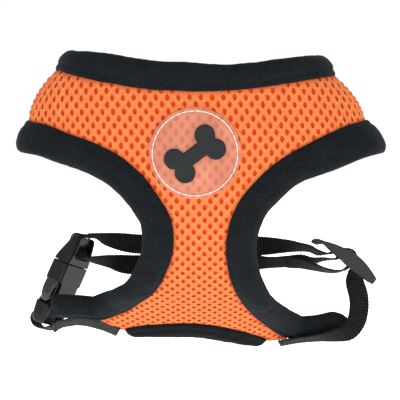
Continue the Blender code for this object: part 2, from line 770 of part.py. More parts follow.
RING_AT = Vector((0.0, NAPE_Y + 6.2, -41.0))
RING_HALF = 6.9
loop = 1.3 + 0.3 + WEB_THICK / 2 + 0.35
c = RING_AT
stations = [
    ((0.0, NAPE_Y + 1.7, -17.0), ACROSS),
    ((0.0, NAPE_Y + 1.9, -28.0), ACROSS),
    ((0.0, NAPE_Y + 2.6, -35.5), ACROSS),
    ((0.0, c.y - loop, c.z), ACROSS),
    ((0.0, c.y - loop * 0.6, c.z - loop * 0.75), ACROSS),
    ((0.0, c.y, c.z - loop), ACROSS),
    ((0.0, c.y + loop * 0.75, c.z - loop * 0.6), ACROSS),
    ((0.0, c.y + loop, c.z), ACROSS),
    ((0.0, c.y + loop * 0.3, c.z + 5.0), ACROSS),
    ((0.0, NAPE_Y + 3.7, -30.0), ACROSS),
    ((0.0, NAPE_Y + 3.5, -18.0), ACROSS),
]
ribbon("leash_ring_tab", stations, 8.0, WEB_THICK, WEB, step=1.6)

path = [Vector((x, 0, 0)) for x in (-3.5, 0.0, 3.5)]
path += [Vector((RING_HALF - 1.1, 0, -0.2)), Vector((RING_HALF, 0, -1.6))]
for k in range(12):
    a = -math.pi * k / 11
    path.append(Vector((RING_HALF * math.cos(a), 0, -5.0 + RING_HALF * math.sin(a) * 1.15)))
path += [Vector((-RING_HALF, 0, -1.6)), Vector((-RING_HALF + 1.1, 0, -0.2))]
rings = []
r = RING_WIRE / 2
for i, p in enumerate(path):
    along = (path[(i + 1) % len(path)] - path[i - 1]).normalized()
    n = Vector((0, 1, 0)).cross(along)
    ring = []
    for e, o in ((1, 0.5), (0.5, 1), (-0.5, 1), (-1, 0.5), (-1, -0.5), (-0.5, -1), (0.5, -1), (1, -0.5)):
        ring.append(RING_AT + p + n * r * e + Vector((0, 1, 0)) * r * o)
    rings.append(ring)
loft("leash_d_ring", rings, METAL, 0.25, closed=True)

for name, at in (
    ("buckle_male", BUCKLE_AT),
    ("slider", SLIDER_AT),
    ("leash_d_ring", RING_AT),
    ("buckle_prong_left", Vector(in_buckle(6.1, 0, -4.5))),
    ("buckle_prong_right", Vector(in_buckle(6.1, 0, 4.5))),
):
    obj = bpy.data.objects[name]
    obj.data.transform(Matrix.Translation(-at * MM))
    obj.location = at * MM
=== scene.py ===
"""Dog vest harness: soft pieces, hardware and materials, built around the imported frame.

Soft pieces are laid out in millimetres on the garment's form, a surface within about 2 mm of the one that
the CAD part is built on, and are turned to metres when their meshes are made.
"""

import math

import bmesh
import bpy
import numpy as np
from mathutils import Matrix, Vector, geometry, noise


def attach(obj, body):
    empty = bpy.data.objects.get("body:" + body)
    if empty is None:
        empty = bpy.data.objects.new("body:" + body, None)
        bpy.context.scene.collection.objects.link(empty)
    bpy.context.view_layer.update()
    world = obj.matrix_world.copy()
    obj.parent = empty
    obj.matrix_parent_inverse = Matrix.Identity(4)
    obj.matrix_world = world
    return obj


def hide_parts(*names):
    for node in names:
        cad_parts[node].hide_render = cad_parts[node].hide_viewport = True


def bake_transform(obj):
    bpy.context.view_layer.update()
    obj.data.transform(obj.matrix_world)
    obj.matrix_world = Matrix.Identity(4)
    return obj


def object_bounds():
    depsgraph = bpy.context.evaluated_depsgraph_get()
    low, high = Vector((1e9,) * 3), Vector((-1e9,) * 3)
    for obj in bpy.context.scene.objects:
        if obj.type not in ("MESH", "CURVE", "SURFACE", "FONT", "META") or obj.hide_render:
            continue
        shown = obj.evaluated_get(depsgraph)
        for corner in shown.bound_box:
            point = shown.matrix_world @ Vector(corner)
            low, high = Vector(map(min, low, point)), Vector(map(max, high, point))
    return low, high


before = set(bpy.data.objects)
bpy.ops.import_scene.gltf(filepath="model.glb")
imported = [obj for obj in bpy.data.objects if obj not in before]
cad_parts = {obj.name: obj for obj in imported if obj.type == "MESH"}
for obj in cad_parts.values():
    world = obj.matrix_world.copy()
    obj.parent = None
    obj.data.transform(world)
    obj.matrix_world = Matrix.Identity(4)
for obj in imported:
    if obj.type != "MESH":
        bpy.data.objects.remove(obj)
cad_box = [list(p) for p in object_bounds()]
MM = 0.001

# ---------------------------------------------------------------- driving dimensions, in millimetres

NECK_HALF_WIDTH = 62.6
NECK_FRONT_DEPTH = 36.0
NECK_BACK_DEPTH = 26.0
NECK_LEAN = 2.0
CHEST_DROP = 24.7
CHEST_RADIUS = 96.6
CHEST_TILT = math.radians(62.0)
BELLY_BEND = 12.0
SHOULDER = 39.2
WING_SPREAD = 0.98
WING_CURVE = 0.0125
WAIST = 1.25
WAIST_AT = 26.3
WAIST_REACH = 8.0
NECK_RIGHT_IN = 1.7
WINGS_ABOVE = 60.0
NECK_ROLL = 12.0
ARM_ROLL = 15.0
ROLL_HALF = 3.6
HEM_HALF = 3.2
WEB_WIDTH = 10.0
WEB_THICK = 1.2
RIB_PITCH = 1.45
BADGE_V = 41.0
BADGE_X = -1.8
STITCH_R = 18.9
HOLE_PITCH = 5.04
ROW_PITCH = 3.16
HOLE_WIDE = 1.0
HOLE_TALL = 1.52

# Mesh edges on the form: (angle round the body in degrees, distance down in mm)
NECK_LOOP = [
    (-180, 11.0), (-150, 9.5), (-118, 5.0), (-92, 1.8), (-75, 2.0), (-57, 4.6), (-35, 8.6), (-16, 12.0),
    (0, 12.9), (16, 12.2), (35, 9.4), (57, 6.2), (75, 4.6), (92, 4.2), (118, 6.0), (150, 9.5), (180, 11.0),
]
ARM_LEFT = [
    (-57, 157.2), (-46, 157.6), (-35.6, 156.8), (-25.6, 143.9), (-20.4, 132.2), (-15.3, 120.0),
    (-12.3, 110.2), (-9.4, 96.0), (-8.3, 84.0), (-9.3, 72.0), (-12.2, 63.3), (-15.6, 56.1), (-19.4, 50.1),
    (-25.6, 43.3),
    (-34.9, 37.4), (-48.5, 32.3), (-62.6, 28.2), (-88, 25.4), (-112, 24.4), (-148, 25.0), (-179.5, 26.5),
]
ARM_RIGHT = [
    (71, 177.6), (62, 180.4), (52, 181.6), (42.5, 181.4), (34.0, 179.0), (27.4, 169.8), (22.0, 156.3),
    (16.6, 138.7), (12.8, 121.6), (10.6, 110.1), (9.2, 97.2), (8.8, 87.2), (9.5, 77.1), (11.3, 69.0),
    (14.0, 61.6), (18.1, 54.8), (23.5, 47.8), (29.9, 42.1), (37.3, 37.5), (46.4, 33.3), (60.3, 28.6),
    (77.5, 26.0), (92, 25.2), (112, 24.4), (148, 25.0), (179.5, 26.5),
]
HEM_EDGE = [
    (-27.6, 165.6), (-19, 159.7), (-6, 156.0), (3.7, 158.0), (13.1, 164.9), (20, 172.0), (25.6, 178.4),
]
HEM_CORNER = (32.4, 178.0)

# Hardware axes and places
BUCKLE_AT = np.array((-67.5, 48.2, -101.6))
BUCKLE_LONG = np.array((0.40, 0.0, 0.9165))
BUCKLE_THICK = np.array((0.793, -0.50, -0.346))
BAR_L = 20.6
WRAP = 3.3
SLIDER_AT = np.array((72.4, 44.0, -91.5))
SLIDER_LONG = np.array((-0.835, 0.0, 0.55))
RING_AT = np.array((0.0, 37.0, -41.0))
NAPE_Y = 30.0
RING_HALF = 6.9
RING_WIRE = 2.6


def unit(v):
    return v / np.linalg.norm(v, axis=-1, keepdims=True)


BUCKLE_LONG = unit(BUCKLE_LONG)
BUCKLE_THICK = unit(BUCKLE_THICK - BUCKLE_LONG * (BUCKLE_THICK @ BUCKLE_LONG))
BUCKLE_WIDE = unit(np.cross(BUCKLE_LONG, BUCKLE_THICK))
SLIDER_LONG = unit(SLIDER_LONG)
SLIDER_OUT = np.array((SLIDER_LONG[2], 0.0, -SLIDER_LONG[0]))


# ---------------------------------------------------------------- camera, light and floor

CAMERA_AT = (0.00045, -0.786, -0.062)
LAMPS = (
    ("key", (-0.5, -1.0, 0.1), 0.4, 1.1),
    ("fill", (0.9, -0.9, -0.05), 0.9, 3.0),
    ("top", (0.1, 0.2, 1.1), 0.8, 0.5),
)
LAMPS_AIM = (0, 0, -0.06)
SKY_STRENGTH = 1.02
FLOOR_DROP = 0.028
FLOOR_GLOW = 1.15


def placed(name, data):
    obj = bpy.data.objects.new(name, data)
    bpy.context.scene.collection.objects.link(obj)
    return obj


def studio():
    """A camera at the photograph's angle, soft lamps, a white sky and a pale floor that lights from below."""
    camera = placed("camera", bpy.data.cameras.new("camera"))
    camera.data.lens = 150
    camera.data.sensor_width = 36
    camera.location = CAMERA_AT
    camera.rotation_euler = (math.pi / 2, 0, 0)
    bpy.context.scene.camera = camera
    bpy.context.scene.view_settings.view_transform = "Standard"

    world = bpy.data.worlds.new("studio")
    world.use_nodes = True
    sky = world.node_tree.nodes["Background"].inputs
    sky["Color"].default_value = (1, 1, 1, 1)
    sky["Strength"].default_value = SKY_STRENGTH
    bpy.context.scene.world = world

    for name, at, size, watts in LAMPS:
        light = placed(name, bpy.data.lights.new(name, "AREA"))
        light.data.size = size
        light.data.energy = watts
        light.location = at
        light.rotation_euler = (Vector(LAMPS_AIM) - Vector(at)).to_track_quat("-Z", "Y").to_euler()

    bm = bmesh.new()
    bmesh.ops.create_circle(bm, cap_ends=True, segments=64, radius=30.0)
    mesh = bpy.data.meshes.new("floor")
    bm.to_mesh(mesh)
    bm.free()
    floor = placed("floor", mesh)
    floor.location = (0, 0, cad_box[0][2] - FLOOR_DROP)
    pale = Shader("floor", Base_Color=(0.93, 0.93, 0.93, 1), Roughness=0.9, Specular_IOR_Level=0.1)
    pale.out.inputs["Emission Color"].default_value = (1, 1, 1, 1)
    pale.out.inputs["Emission Strength"].default_value = FLOOR_GLOW
    mesh.materials.append(pale.material)


# ---------------------------------------------------------------- materials


class Shader:
    """A material's node tree, with short calls for adding nodes and joining them."""

    def __init__(self, name, **constants):
        self.material = bpy.data.materials.new(name)
        self.material.use_nodes = True
        self.tree = self.material.node_tree
        self.out = self.tree.nodes["Principled BSDF"]
        for key, value in constants.items():
            self.out.inputs[key.replace("_", " ")].default_value = value

    def add(self, kind, inputs=(), **settings):
        node = self.tree.nodes.new("ShaderNode" + kind)
        for key, value in settings.items():
            setattr(node, key, value)
        for key, value in dict(inputs).items():
            self.set(node.inputs[key], value)
        return node

    def set(self, socket, value):
        if isinstance(value, bpy.types.NodeSocket):
            self.tree.links.new(value, socket)
        else:
            socket.default_value = value

    def calc(self, operation, a, b=0.0):
        return self.add("Math", {0: a, 1: b}, operation=operation).outputs[0]

    def mix(self, share, a, b):
        node = self.add("Mix", {"Factor": share}, data_type="RGBA")
        self.set(node.inputs[6], a)
        self.set(node.inputs[7], b)
        return node.outputs[2]

    def noise(self, where, scale, detail=2.0, rough=0.5):
        node = self.add("TexNoise", {"Vector": where, "Scale": scale, "Detail": detail, "Roughness": rough})
        return node.outputs["Fac"]

    def wave(self, where, scale, distortion, detail=2.0, detail_scale=1.0, **settings):
        inputs = {"Vector": where, "Scale": scale, "Distortion": distortion, "Detail": detail}
        inputs["Detail Scale"] = detail_scale
        return self.add("TexWave", inputs, **settings).outputs["Fac"]

    def weighed(self, *parts):
        """The sum of (value, weight) parts."""
        total = None
        for value, weight in parts:
            part = value if weight == 1 else self.calc("MULTIPLY", value, weight)
            total = part if total is None else self.calc("ADD", total, part)
        return total

    def color(self, share, dark, light):
        self.set(self.out.inputs["Base Color"], self.mix(share, (*dark, 1), (*light, 1)))

    def relief(self, height, strength, distance):
        bump = self.add("Bump", {"Height": height, "Strength": strength, "Distance": distance})
        self.set(self.out.inputs["Normal"], bump.outputs["Normal"])

    def here(self):
        return self.add("TexCoord").outputs["Object"]

    def cloth_uv(self):
        return self.add("TexCoord").outputs["UV"]

    def stretch(self, where, scale, turn=(0, 0, 0)):
        return self.add("Mapping", {"Vector": where, "Scale": scale, "Rotation": turn}).outputs["Vector"]

    def ramp(self, value, low, high, a=0.0, b=1.0):
        inputs = {"Value": value, "From Min": low, "From Max": high, "To Min": a, "To Max": b}
        return self.add("MapRange", inputs).outputs["Result"]


def hole_distance(s, uv):
    """How far a place in the cloth is from the nearest hole's middle, where 1 is the hole's edge."""
    split = s.add("SeparateXYZ", {0: uv})
    rings = []
    for shift in (0.0, 0.5):
        near = []
        for axis, pitch, half in ((0, HOLE_PITCH, HOLE_WIDE), (1, 2 * ROW_PITCH, HOLE_TALL)):
            q = s.calc("ADD", s.calc("MULTIPLY", split.outputs[axis], 10 / pitch), 100.5 + shift)
            q = s.calc("SUBTRACT", s.calc("FRACT", q), 0.5)
            q = s.calc("MULTIPLY", q, pitch / half)
            near.append(s.calc("MULTIPLY", q, q))
        rings.append(s.calc("SQRT", s.calc("ADD", near[0], near[1])))
    return s.calc("MINIMUM", rings[0], rings[1])


def air_mesh_material(name, light, dark):
    """Knitted yarn that runs in rings round the holes, with painted shade in the grooves between the rings
    and along the binding edges; the UV map is in centimetres of cloth.
    """
    s = Shader(name, Roughness=0.85, Specular_IOR_Level=0.08, Sheen_Weight=0.03, Sheen_Roughness=0.45)
    uv = s.cloth_uv()
    ring = hole_distance(s, uv)
    wobble = s.noise(uv, 9.0, 3.0)
    strand = s.calc("SINE", s.calc("MULTIPLY", s.calc("ADD", ring, wobble), 17.0))
    strand = s.ramp(strand, -1.0, 1.0)
    fibre = s.noise(s.stretch(uv, (34.0, 16.0, 1.0)), 1.0, 3.0, 0.65)
    blotch = s.noise(uv, 5.0, 2.0)
    # The strand term darkens the colour in the grooves between the yarn rings round each hole: painted shade.
    share = s.weighed((fibre, 0.9), (strand, 0.28), (blotch, 0.25))
    # Painted shade: the colour darkens along the binding edges, from a point attribute that falls to zero at
    # the edge.
    binding_shade_mask = s.add("Attribute", attribute_name="binding_shade_mask").outputs["Fac"]
    s.color(s.calc("MULTIPLY", s.ramp(share, 0.42, 1.02), s.ramp(binding_shade_mask, 0.0, 1.0, 0.25, 1.0)), dark, light)
    s.relief(s.weighed((strand, 0.5), (fibre, 1)), 0.55, 0.0003)
    return s.material


def knit_material(name, light, dark):
    """The close plain knit on the inside of the air mesh."""
    s = Shader(name, Roughness=0.9, Specular_IOR_Level=0.05, Sheen_Weight=0.02, Sheen_Roughness=0.5)
    uv = s.cloth_uv()
    wales = s.wave(uv, 4.2, 0.6, 1.0)
    courses = s.wave(uv, 5.4, 0.8, 1.0, bands_direction="Y")
    fine = s.noise(s.stretch(uv, (26.0, 26.0, 1.0)), 1.0, 3.0, 0.6)
    height = s.weighed((wales, 0.6), (courses, 0.4), (fine, 0.6))
    s.color(s.ramp(height, 0.35, 1.3), dark, light)
    s.relief(height, 0.5, 0.0002)
    return s.material


def nap_material(name, light, dark):
    """Brushed fleece binding: soft nap over faint slanting ribs."""
    s = Shader(name, Roughness=0.95, Specular_IOR_Level=0.04, Sheen_Weight=0.05, Sheen_Roughness=0.35)
    s.out.inputs["Sheen Tint"].default_value = (0.75, 0.85, 1.0, 1)
    here = s.here()
    tufts = s.noise(here, 900.0, 4.0, 0.62)
    hairs = s.noise(s.stretch(here, (1.0, 1.0, 0.35), (0.3, 0.5, 0.6)), 2600.0, 2.0, 0.6)
    slant = s.stretch(here, (1.0, 1.0, 1.0), (0.0, 0.9, 0.0))
    ribs = s.wave(slant, 230.0, 2.2, detail_scale=2.0)
    cloud = s.noise(here, 120.0, 2.0)
    share = s.weighed((tufts, 0.9), (hairs, 0.55), (ribs, 0.12), (cloud, 0.35))
    s.color(s.ramp(share, 0.62, 1.28), dark, light)
    s.relief(s.weighed((tufts, 1), (hairs, 0.45), (ribs, 0.22)), 0.7, 0.0005)
    return s.material


def webbing_material(name, light, dark):
    """Woven webbing; the ribs are in the mesh, and the warp yarns are here, with painted shade that darkens
    the colour between the ribs. UV is in centimetres.
    """
    s = Shader(name, Roughness=0.75, Specular_IOR_Level=0.1, Sheen_Weight=0.03, Sheen_Roughness=0.4)
    uv = s.cloth_uv()
    phase = s.calc("MULTIPLY", s.add("SeparateXYZ", {0: uv}).outputs[0], 10 * math.pi / RIB_PITCH)
    rib = s.calc("ABSOLUTE", s.calc("SINE", phase))
    warp = s.wave(uv, 3.6, 0.5, bands_direction="Y")
    fine = s.noise(s.stretch(uv, (30.0, 60.0, 1.0)), 1.0, 3.0, 0.6)
    wear = s.noise(s.here(), 260.0, 3.0, 0.6)
    share = s.weighed((fine, 0.7), (wear, 0.5))
    # Painted shade: the colour is darkened between the ribs.
    s.color(s.calc("MULTIPLY", s.ramp(share, 0.45, 0.85), s.ramp(rib, 0.35, 0.95)), dark, light)
    s.relief(s.weighed((warp, 0.5), (fine, 1)), 0.6, 0.00025)
    return s.material


def plastic_material(name, color, rough, shine=0.36):
    s = Shader(name, Base_Color=(*color, 1), Specular_IOR_Level=shine)
    here = s.here()
    handled = s.noise(here, 90.0, 3.0, 0.6)
    grain = s.noise(here, 5200.0, 2.0, 0.5)
    s.set(s.out.inputs["Roughness"], s.ramp(handled, 0.3, 0.7, rough - 0.07, rough + 0.09))
    s.relief(grain, 0.25, 0.0001)
    return s.material


def thread_material(name, color, rough=0.6):
    s = Shader(name, Base_Color=(*color, 1), Roughness=rough, Specular_IOR_Level=0.3, Sheen_Weight=0.2)
    s.relief(s.wave(s.here(), 1500.0, 1.0, bands_direction="DIAGONAL"), 0.5, 0.0001)
    return s.material


def badge_material():
    """Milky soft rubber: the holes of the mesh below show through faintly, and painted dark spots over them
    add painted shade of the holes.
    """
    s = Shader("badge_rubber", Roughness=0.42, Specular_IOR_Level=0.3, Subsurface_Weight=0.2, Alpha=0.5)
    s.out.inputs["Subsurface Scale"].default_value = 0.001
    s.out.inputs["Subsurface Radius"].default_value = (1.0, 0.5, 0.35)
    cloud = s.noise(s.here(), 70.0, 2.0)
    grain = s.noise(s.here(), 1800.0, 2.0)
    tone = s.mix(s.ramp(cloud, 0.35, 0.65), (0.64, 0.225, 0.14, 1), (0.75, 0.30, 0.185, 1))
    # Painted shade: dark spots over the holes of the mesh below.
    below = s.ramp(hole_distance(s, s.cloth_uv()), 0.35, 1.5, 0.45, 0.0)
    tone = s.mix(below, tone, (0.30, 0.085, 0.075, 1))
    s.set(s.out.inputs["Base Color"], tone)
    s.relief(grain, 0.12, 0.0001)
    return s.material


def metal_material():
    s = Shader("ring_metal", Base_Color=(0.62, 0.62, 0.63, 1), Metallic=1.0)
    here = s.here()
    s.set(s.out.inputs["Roughness"], s.ramp(s.noise(here, 400.0, 3.0), 0.3, 0.7, 0.16, 0.32))
    s.relief(s.noise(here, 3000.0, 2.0), 0.1, 0.0001)
    return s.material


MESH_CLOTH = air_mesh_material("air_mesh", (0.815, 0.286, 0.095), (0.55, 0.080, 0.015))
# Painted shade: a darker, redder copy of the lining knit for the cloth seen through the holes.
SHADED_HOLE_CLOTH = knit_material("air_mesh_inside_shaded", (0.74, 0.068, 0.012), (0.50, 0.026, 0.004))
LINING_CLOTH = knit_material("air_mesh_lining", (0.80, 0.22, 0.065), (0.55, 0.08, 0.016))
NAP = nap_material("binding_nap", (0.0123, 0.0150, 0.0172), (0.0028, 0.0038, 0.0045))
WEB = webbing_material("webbing", (0.0172, 0.0184, 0.0194), (0.0018, 0.0021, 0.0023))
WORN_WEB = webbing_material("webbing_tab", (0.056, 0.058, 0.059), (0.007, 0.0075, 0.008))
PLASTIC = plastic_material("buckle_plastic", (0.0048, 0.0052, 0.0057), 0.32, 0.2)
SATIN_PLASTIC = plastic_material("slider_plastic", (0.0195, 0.0208, 0.0218), 0.5, 0.22)
GLOSS_PLASTIC = plastic_material("prong_plastic", (0.0038, 0.0041, 0.0046), 0.17, 0.5)
EMBLEM = plastic_material("emblem_rubber", (0.0135, 0.0160, 0.0172), 0.7, 0.16)
WHITE_THREAD = thread_material("badge_thread", (0.86, 0.76, 0.70))
BLACK_THREAD = thread_material("black_thread", (0.012, 0.013, 0.015))
ORANGE_THREAD = thread_material("orange_thread", (0.85, 0.2, 0.05))


# ---------------------------------------------------------------- the garment's form


def smooth(a, b, x):
    q = np.clip((np.asarray(x, float) - a) / (b - a), 0, 1)
    return q * q * (3 - 2 * q)


def half_width(v):
    """Half the form's width, which draws in a little where the wings begin."""
    w = np.clip(v, 0, SHOULDER)
    waist = WAIST * np.exp(-(((v - WAIST_AT) / WAIST_REACH) ** 2))
    return NECK_HALF_WIDTH + WING_SPREAD * w - WING_CURVE * w * w - waist


def neck_lean(v):
    return -NECK_LEAN * (1 - smooth(8, 40, v))


def form(angle, v):
    """Points on the form at these angles (degrees) and distances down (mm)."""
    v = np.asarray(v, float)
    a = np.radians(np.asarray(angle, float))
    t = np.clip((v - CHEST_DROP) / CHEST_RADIUS, 0, CHEST_TILT)
    rest = np.maximum(v - CHEST_DROP, 0) - CHEST_RADIUS * t
    y = -NECK_FRONT_DEPTH + CHEST_RADIUS * (1 - np.cos(t)) + rest * np.sin(t)
    z = -np.minimum(v, CHEST_DROP) - CHEST_RADIUS * np.sin(t) - rest * np.cos(t)
    half = half_width(v) + np.minimum(v, 0) * 0.4
    half = half - NECK_RIGHT_IN * np.maximum(np.sin(a), 0) * (1 - smooth(3, 16, v))
    bend = NECK_FRONT_DEPTH - (NECK_FRONT_DEPTH - BELLY_BEND) * smooth(40, 125, v)
    lean = neck_lean(v)
    front = np.abs(a) <= math.pi / 2
    swing = np.where(front, bend * (1 - np.cos(a)), bend)
    back = np.where(front, 0, -NECK_BACK_DEPTH * np.cos(a))
    return np.stack([lean + half * np.sin(a), y + swing * np.cos(t) + back, z + swing * np.sin(t)], -1)


def out_of(angle, v):
    """The form's outward normals."""
    h = 0.05
    across = form(angle + h, v) - form(angle - h, v)
    down = form(angle, v + h) - form(angle, v - h)
    return unit(np.cross(down, across))


def on_form(angle, v, off):
    return form(angle, v) + out_of(angle, v) * np.asarray(off, float)[..., None]


def spline(points, n=24):
    """Catmull-Rom through points, n steps a span."""
    p = np.array(points, float)
    p = np.vstack([2 * p[0] - p[1], p, 2 * p[-1] - p[-2]])
    t = (np.arange(n) / n)[:, None]
    spans = []
    for i in range(1, len(p) - 2):
        a, b, c, d = p[i - 1 : i + 3]
        bow = (2 * a - 5 * b + 4 * c - d) * t**2
        spans.append(0.5 * (2 * b + (c - a) * t + bow + (3 * b - a - 3 * c + d) * t**3))
    return np.vstack(spans + [p[-2:-1]])


def distances(places):
    return np.concatenate([[0], np.cumsum(np.linalg.norm(np.diff(places, axis=0), axis=1))])


def even(points, places, step):
    """Values given at each place, read off at even distances along the way through the places."""
    far = distances(places)
    want = np.linspace(0, far[-1], max(3, round(far[-1] / step) + 1))
    return np.stack([np.interp(want, far, points[:, k]) for k in range(points.shape[1])], 1)


def form_path(points, step):
    q = spline(points)
    return even(q, form(q[:, 0], q[:, 1]), step)


# The flat cloth: s is the distance round the body from the middle, v the distance down

PATH_STEP = 2.0
V_STEP = 2.0
V_ROWS = np.arange(-12.0, 204.0, V_STEP)


class Cloth:
    """Turns flat cloth places into angles on the form, for the front or the back half."""

    def __init__(self, angles, middle):
        self.angles = angles
        rows = []
        for v in V_ROWS:
            far = distances(form(angles, np.full_like(angles, v)))
            rows.append(far - np.interp(middle, angles, far))
        self.rows = np.array(rows)

    def between(self, v):
        q = np.clip((v - V_ROWS[0]) / V_STEP, 0, len(V_ROWS) - 1.001)
        i = q.astype(int)
        return i, q - i

    def read(self, x, v, forward):
        x = np.asarray(x, float)
        v = np.asarray(v, float)
        i, f = self.between(v)
        done = np.empty_like(x)
        for k in np.unique(i):
            m = i == k
            pair = []
            for row in (self.rows[k], self.rows[k + 1]):
                known, sought = (self.angles, row) if forward else (row, self.angles)
                pair.append(np.interp(x[m], known, sought))
            done[m] = pair[0] * (1 - f[m]) + pair[1] * f[m]
        return done

    def flat(self, angle, v):
        return self.read(angle, v, True)

    def angle(self, s, v):
        return self.read(s, v, False)


FRONT = Cloth(np.linspace(-90, 90, 361), 0.0)
BACK = Cloth(np.linspace(90, 270, 361), 180.0)


# ---------------------------------------------------------------- mesh makers


def new_mesh(name, verts, faces, material, smooth_faces=True, uv=None):
    """An object from points in mm; uv is one place per point, in mm of cloth."""
    mesh = bpy.data.meshes.new(name)
    mesh.from_pydata((np.asarray(verts, float) * MM).tolist(), [], [list(map(int, f)) for f in faces])
    if uv is not None:
        layer = mesh.uv_layers.new(name="cloth")
        index = np.empty(len(mesh.loops), int)
        mesh.loops.foreach_get("vertex_index", index)
        layer.data.foreach_set("uv", (np.asarray(uv, float)[index] / 10).ravel())
    bm = bmesh.new()
    bm.from_mesh(mesh)
    loose = [v for v in bm.verts if not v.link_faces]
    bmesh.ops.delete(bm, geom=loose, context="VERTS")
    bmesh.ops.recalc_face_normals(bm, faces=bm.faces)
    bm.to_mesh(mesh)
    bm.free()
    if smooth_faces:
        mesh.shade_smooth()
    mesh.materials.append(material)
    return placed(name, mesh)


def grid_faces(n, m, closed=False):
    """Quads between n rings of m points, with caps unless closed."""
    index = np.arange(n * m).reshape(n, m)
    a = index if closed else index[:-1]
    b = np.roll(index, -1, 0) if closed else index[1:]
    quads = np.stack([a, np.roll(a, -1, 1), np.roll(b, -1, 1), b], -1).reshape(-1, 4).tolist()
    return quads if closed else quads + [index[0][::-1].tolist(), index[-1].tolist()]


def swept(name, rings, material, closed=False, uv=None):
    """An object through rings of points, an array of (ring, point, place)."""
    faces = grid_faces(rings.shape[0], rings.shape[1], closed)
    return new_mesh(name, rings.reshape(-1, 3), faces, material, uv=uv)


def shaped_by_modifiers(obj):
    """Replaces an object's mesh by what its modifiers make of it."""
    shaped = bpy.data.meshes.new_from_object(obj.evaluated_get(bpy.context.evaluated_depsgraph_get()))
    obj.modifiers.clear()
    obj.data = shaped
    shaped.name = obj.name
    return shaped


def belongs(obj, node, body):
    """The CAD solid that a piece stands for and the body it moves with."""
    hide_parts(node)
    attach(obj, body)


def inside_and_near(points, outline):
    """Whether each flat point is inside the outline, and how far it is from it (negative outside)."""
    x, y = points[:, 0], points[:, 1]
    inside = np.zeros(len(points), bool)
    near = np.full(len(points), np.inf)
    for (ax, ay), (bx, by) in zip(outline, np.roll(outline, -1, 0)):
        if ay != by:
            inside ^= ((ay > y) != (by > y)) & (x < ax + (y - ay) / (by - ay) * (bx - ax))
        d = np.array((bx - ax, by - ay))
        t = np.clip(((points - (ax, ay)) @ d) / max(d @ d, 1e-12), 0, 1)
        near = np.minimum(near, np.hypot(x - ax - t * d[0], y - ay - t * d[1]))
    return np.where(inside, near, -near)


def area_of(outline):
    x, y = outline[:, 0], outline[:, 1]
    return 0.5 * np.sum(x * np.roll(y, -1) - np.roll(x, -1) * y)


def even_loop(outline, step):
    loop = np.vstack([outline, outline[:1]])
    return even(loop, loop, step)[:-1]


def grown(outline, by):
    """The outline moved outwards, except past its two seam ends."""
    along = np.roll(outline, -1, 0) - np.roll(outline, 1, 0)
    side = np.stack([along[:, 1], -along[:, 0]], 1)
    side /= np.maximum(np.linalg.norm(side, axis=1, keepdims=True), 1e-9)
    rim = outline + side * by * np.sign(area_of(outline))
    rim[:, 0] = np.clip(rim[:, 0], outline[:, 0].min(), outline[:, 0].max())
    return rim


def triangles(rim, inner):
    """Delaunay triangles inside a rim: flat points, faces, and which point given each point was."""
    edges = [(i, (i + 1) % len(rim)) for i in range(len(rim))]
    flat = [Vector(p) for p in np.vstack([rim, inner])]
    got = geometry.delaunay_2d_cdt(flat, edges, [], 1, 1e-6)
    points = np.array([tuple(p) for p in got[0]])
    return points, [tuple(f) for f in got[2]], [o[0] if o else -1 for o in got[3]]


def plate(rim, step, clear):
    """A flat filled outline with a copy below it: the points of one side, and all faces."""
    low, high = rim.min(0), rim.max(0)
    across = np.arange(low[0], high[0], step)
    grid = np.array([(x, y) for y in np.arange(low[1], high[1], step) for x in across])
    points, faces, _ = triangles(rim, grid[inside_and_near(grid, rim) > clear])
    n = len(points)
    used = {(f[i], f[(i + 1) % 3]) for f in faces for i in range(3)}
    sides = [(b, a, n + a, n + b) for a, b in used if (b, a) not in used]
    return points, faces + [tuple(n + i for i in reversed(f)) for f in faces] + sides


TAU = 2 * math.pi
RING_POINTS = 14
LOZENGE = 1.3
WANDER = 0.09
SIZE_RANGE = (0.93, 1.07)
UNDER_BINDING = 2.4
END_CLEAR = 1.9
RIM_CLEAR = 2.25
NODE_CLEAR = 0.8
TOP_LEVEL = 1.12
GROOVE = (0.6, 0.62, 0.98)
HOLE_RINGS = ((0.3, 0.34, 1.24), (0.0, 0.0, 1.0), (-0.08, -0.1, 0.5))
UNDERSIDE = 0.5


def from_ends(points, outline):
    """How far points are from the outline's two seam ends."""
    return np.minimum(points[:, 0] - outline[:, 0].min(), outline[:, 0].max() - points[:, 0])


def hole_middles(shown):
    """Staggered rows of places for holes over an outline's whole extent."""
    low, high = shown.min(0), shown.max(0)
    middles = []
    for j in range(int(low[1] // ROW_PITCH) - 1, int(high[1] // ROW_PITCH) + 2):
        for i in range(int(low[0] // HOLE_PITCH) - 1, int(high[0] // HOLE_PITCH) + 2):
            middles.append(((i + 0.5 * (j % 2)) * HOLE_PITCH, j * ROW_PITCH))
    return np.array(middles)


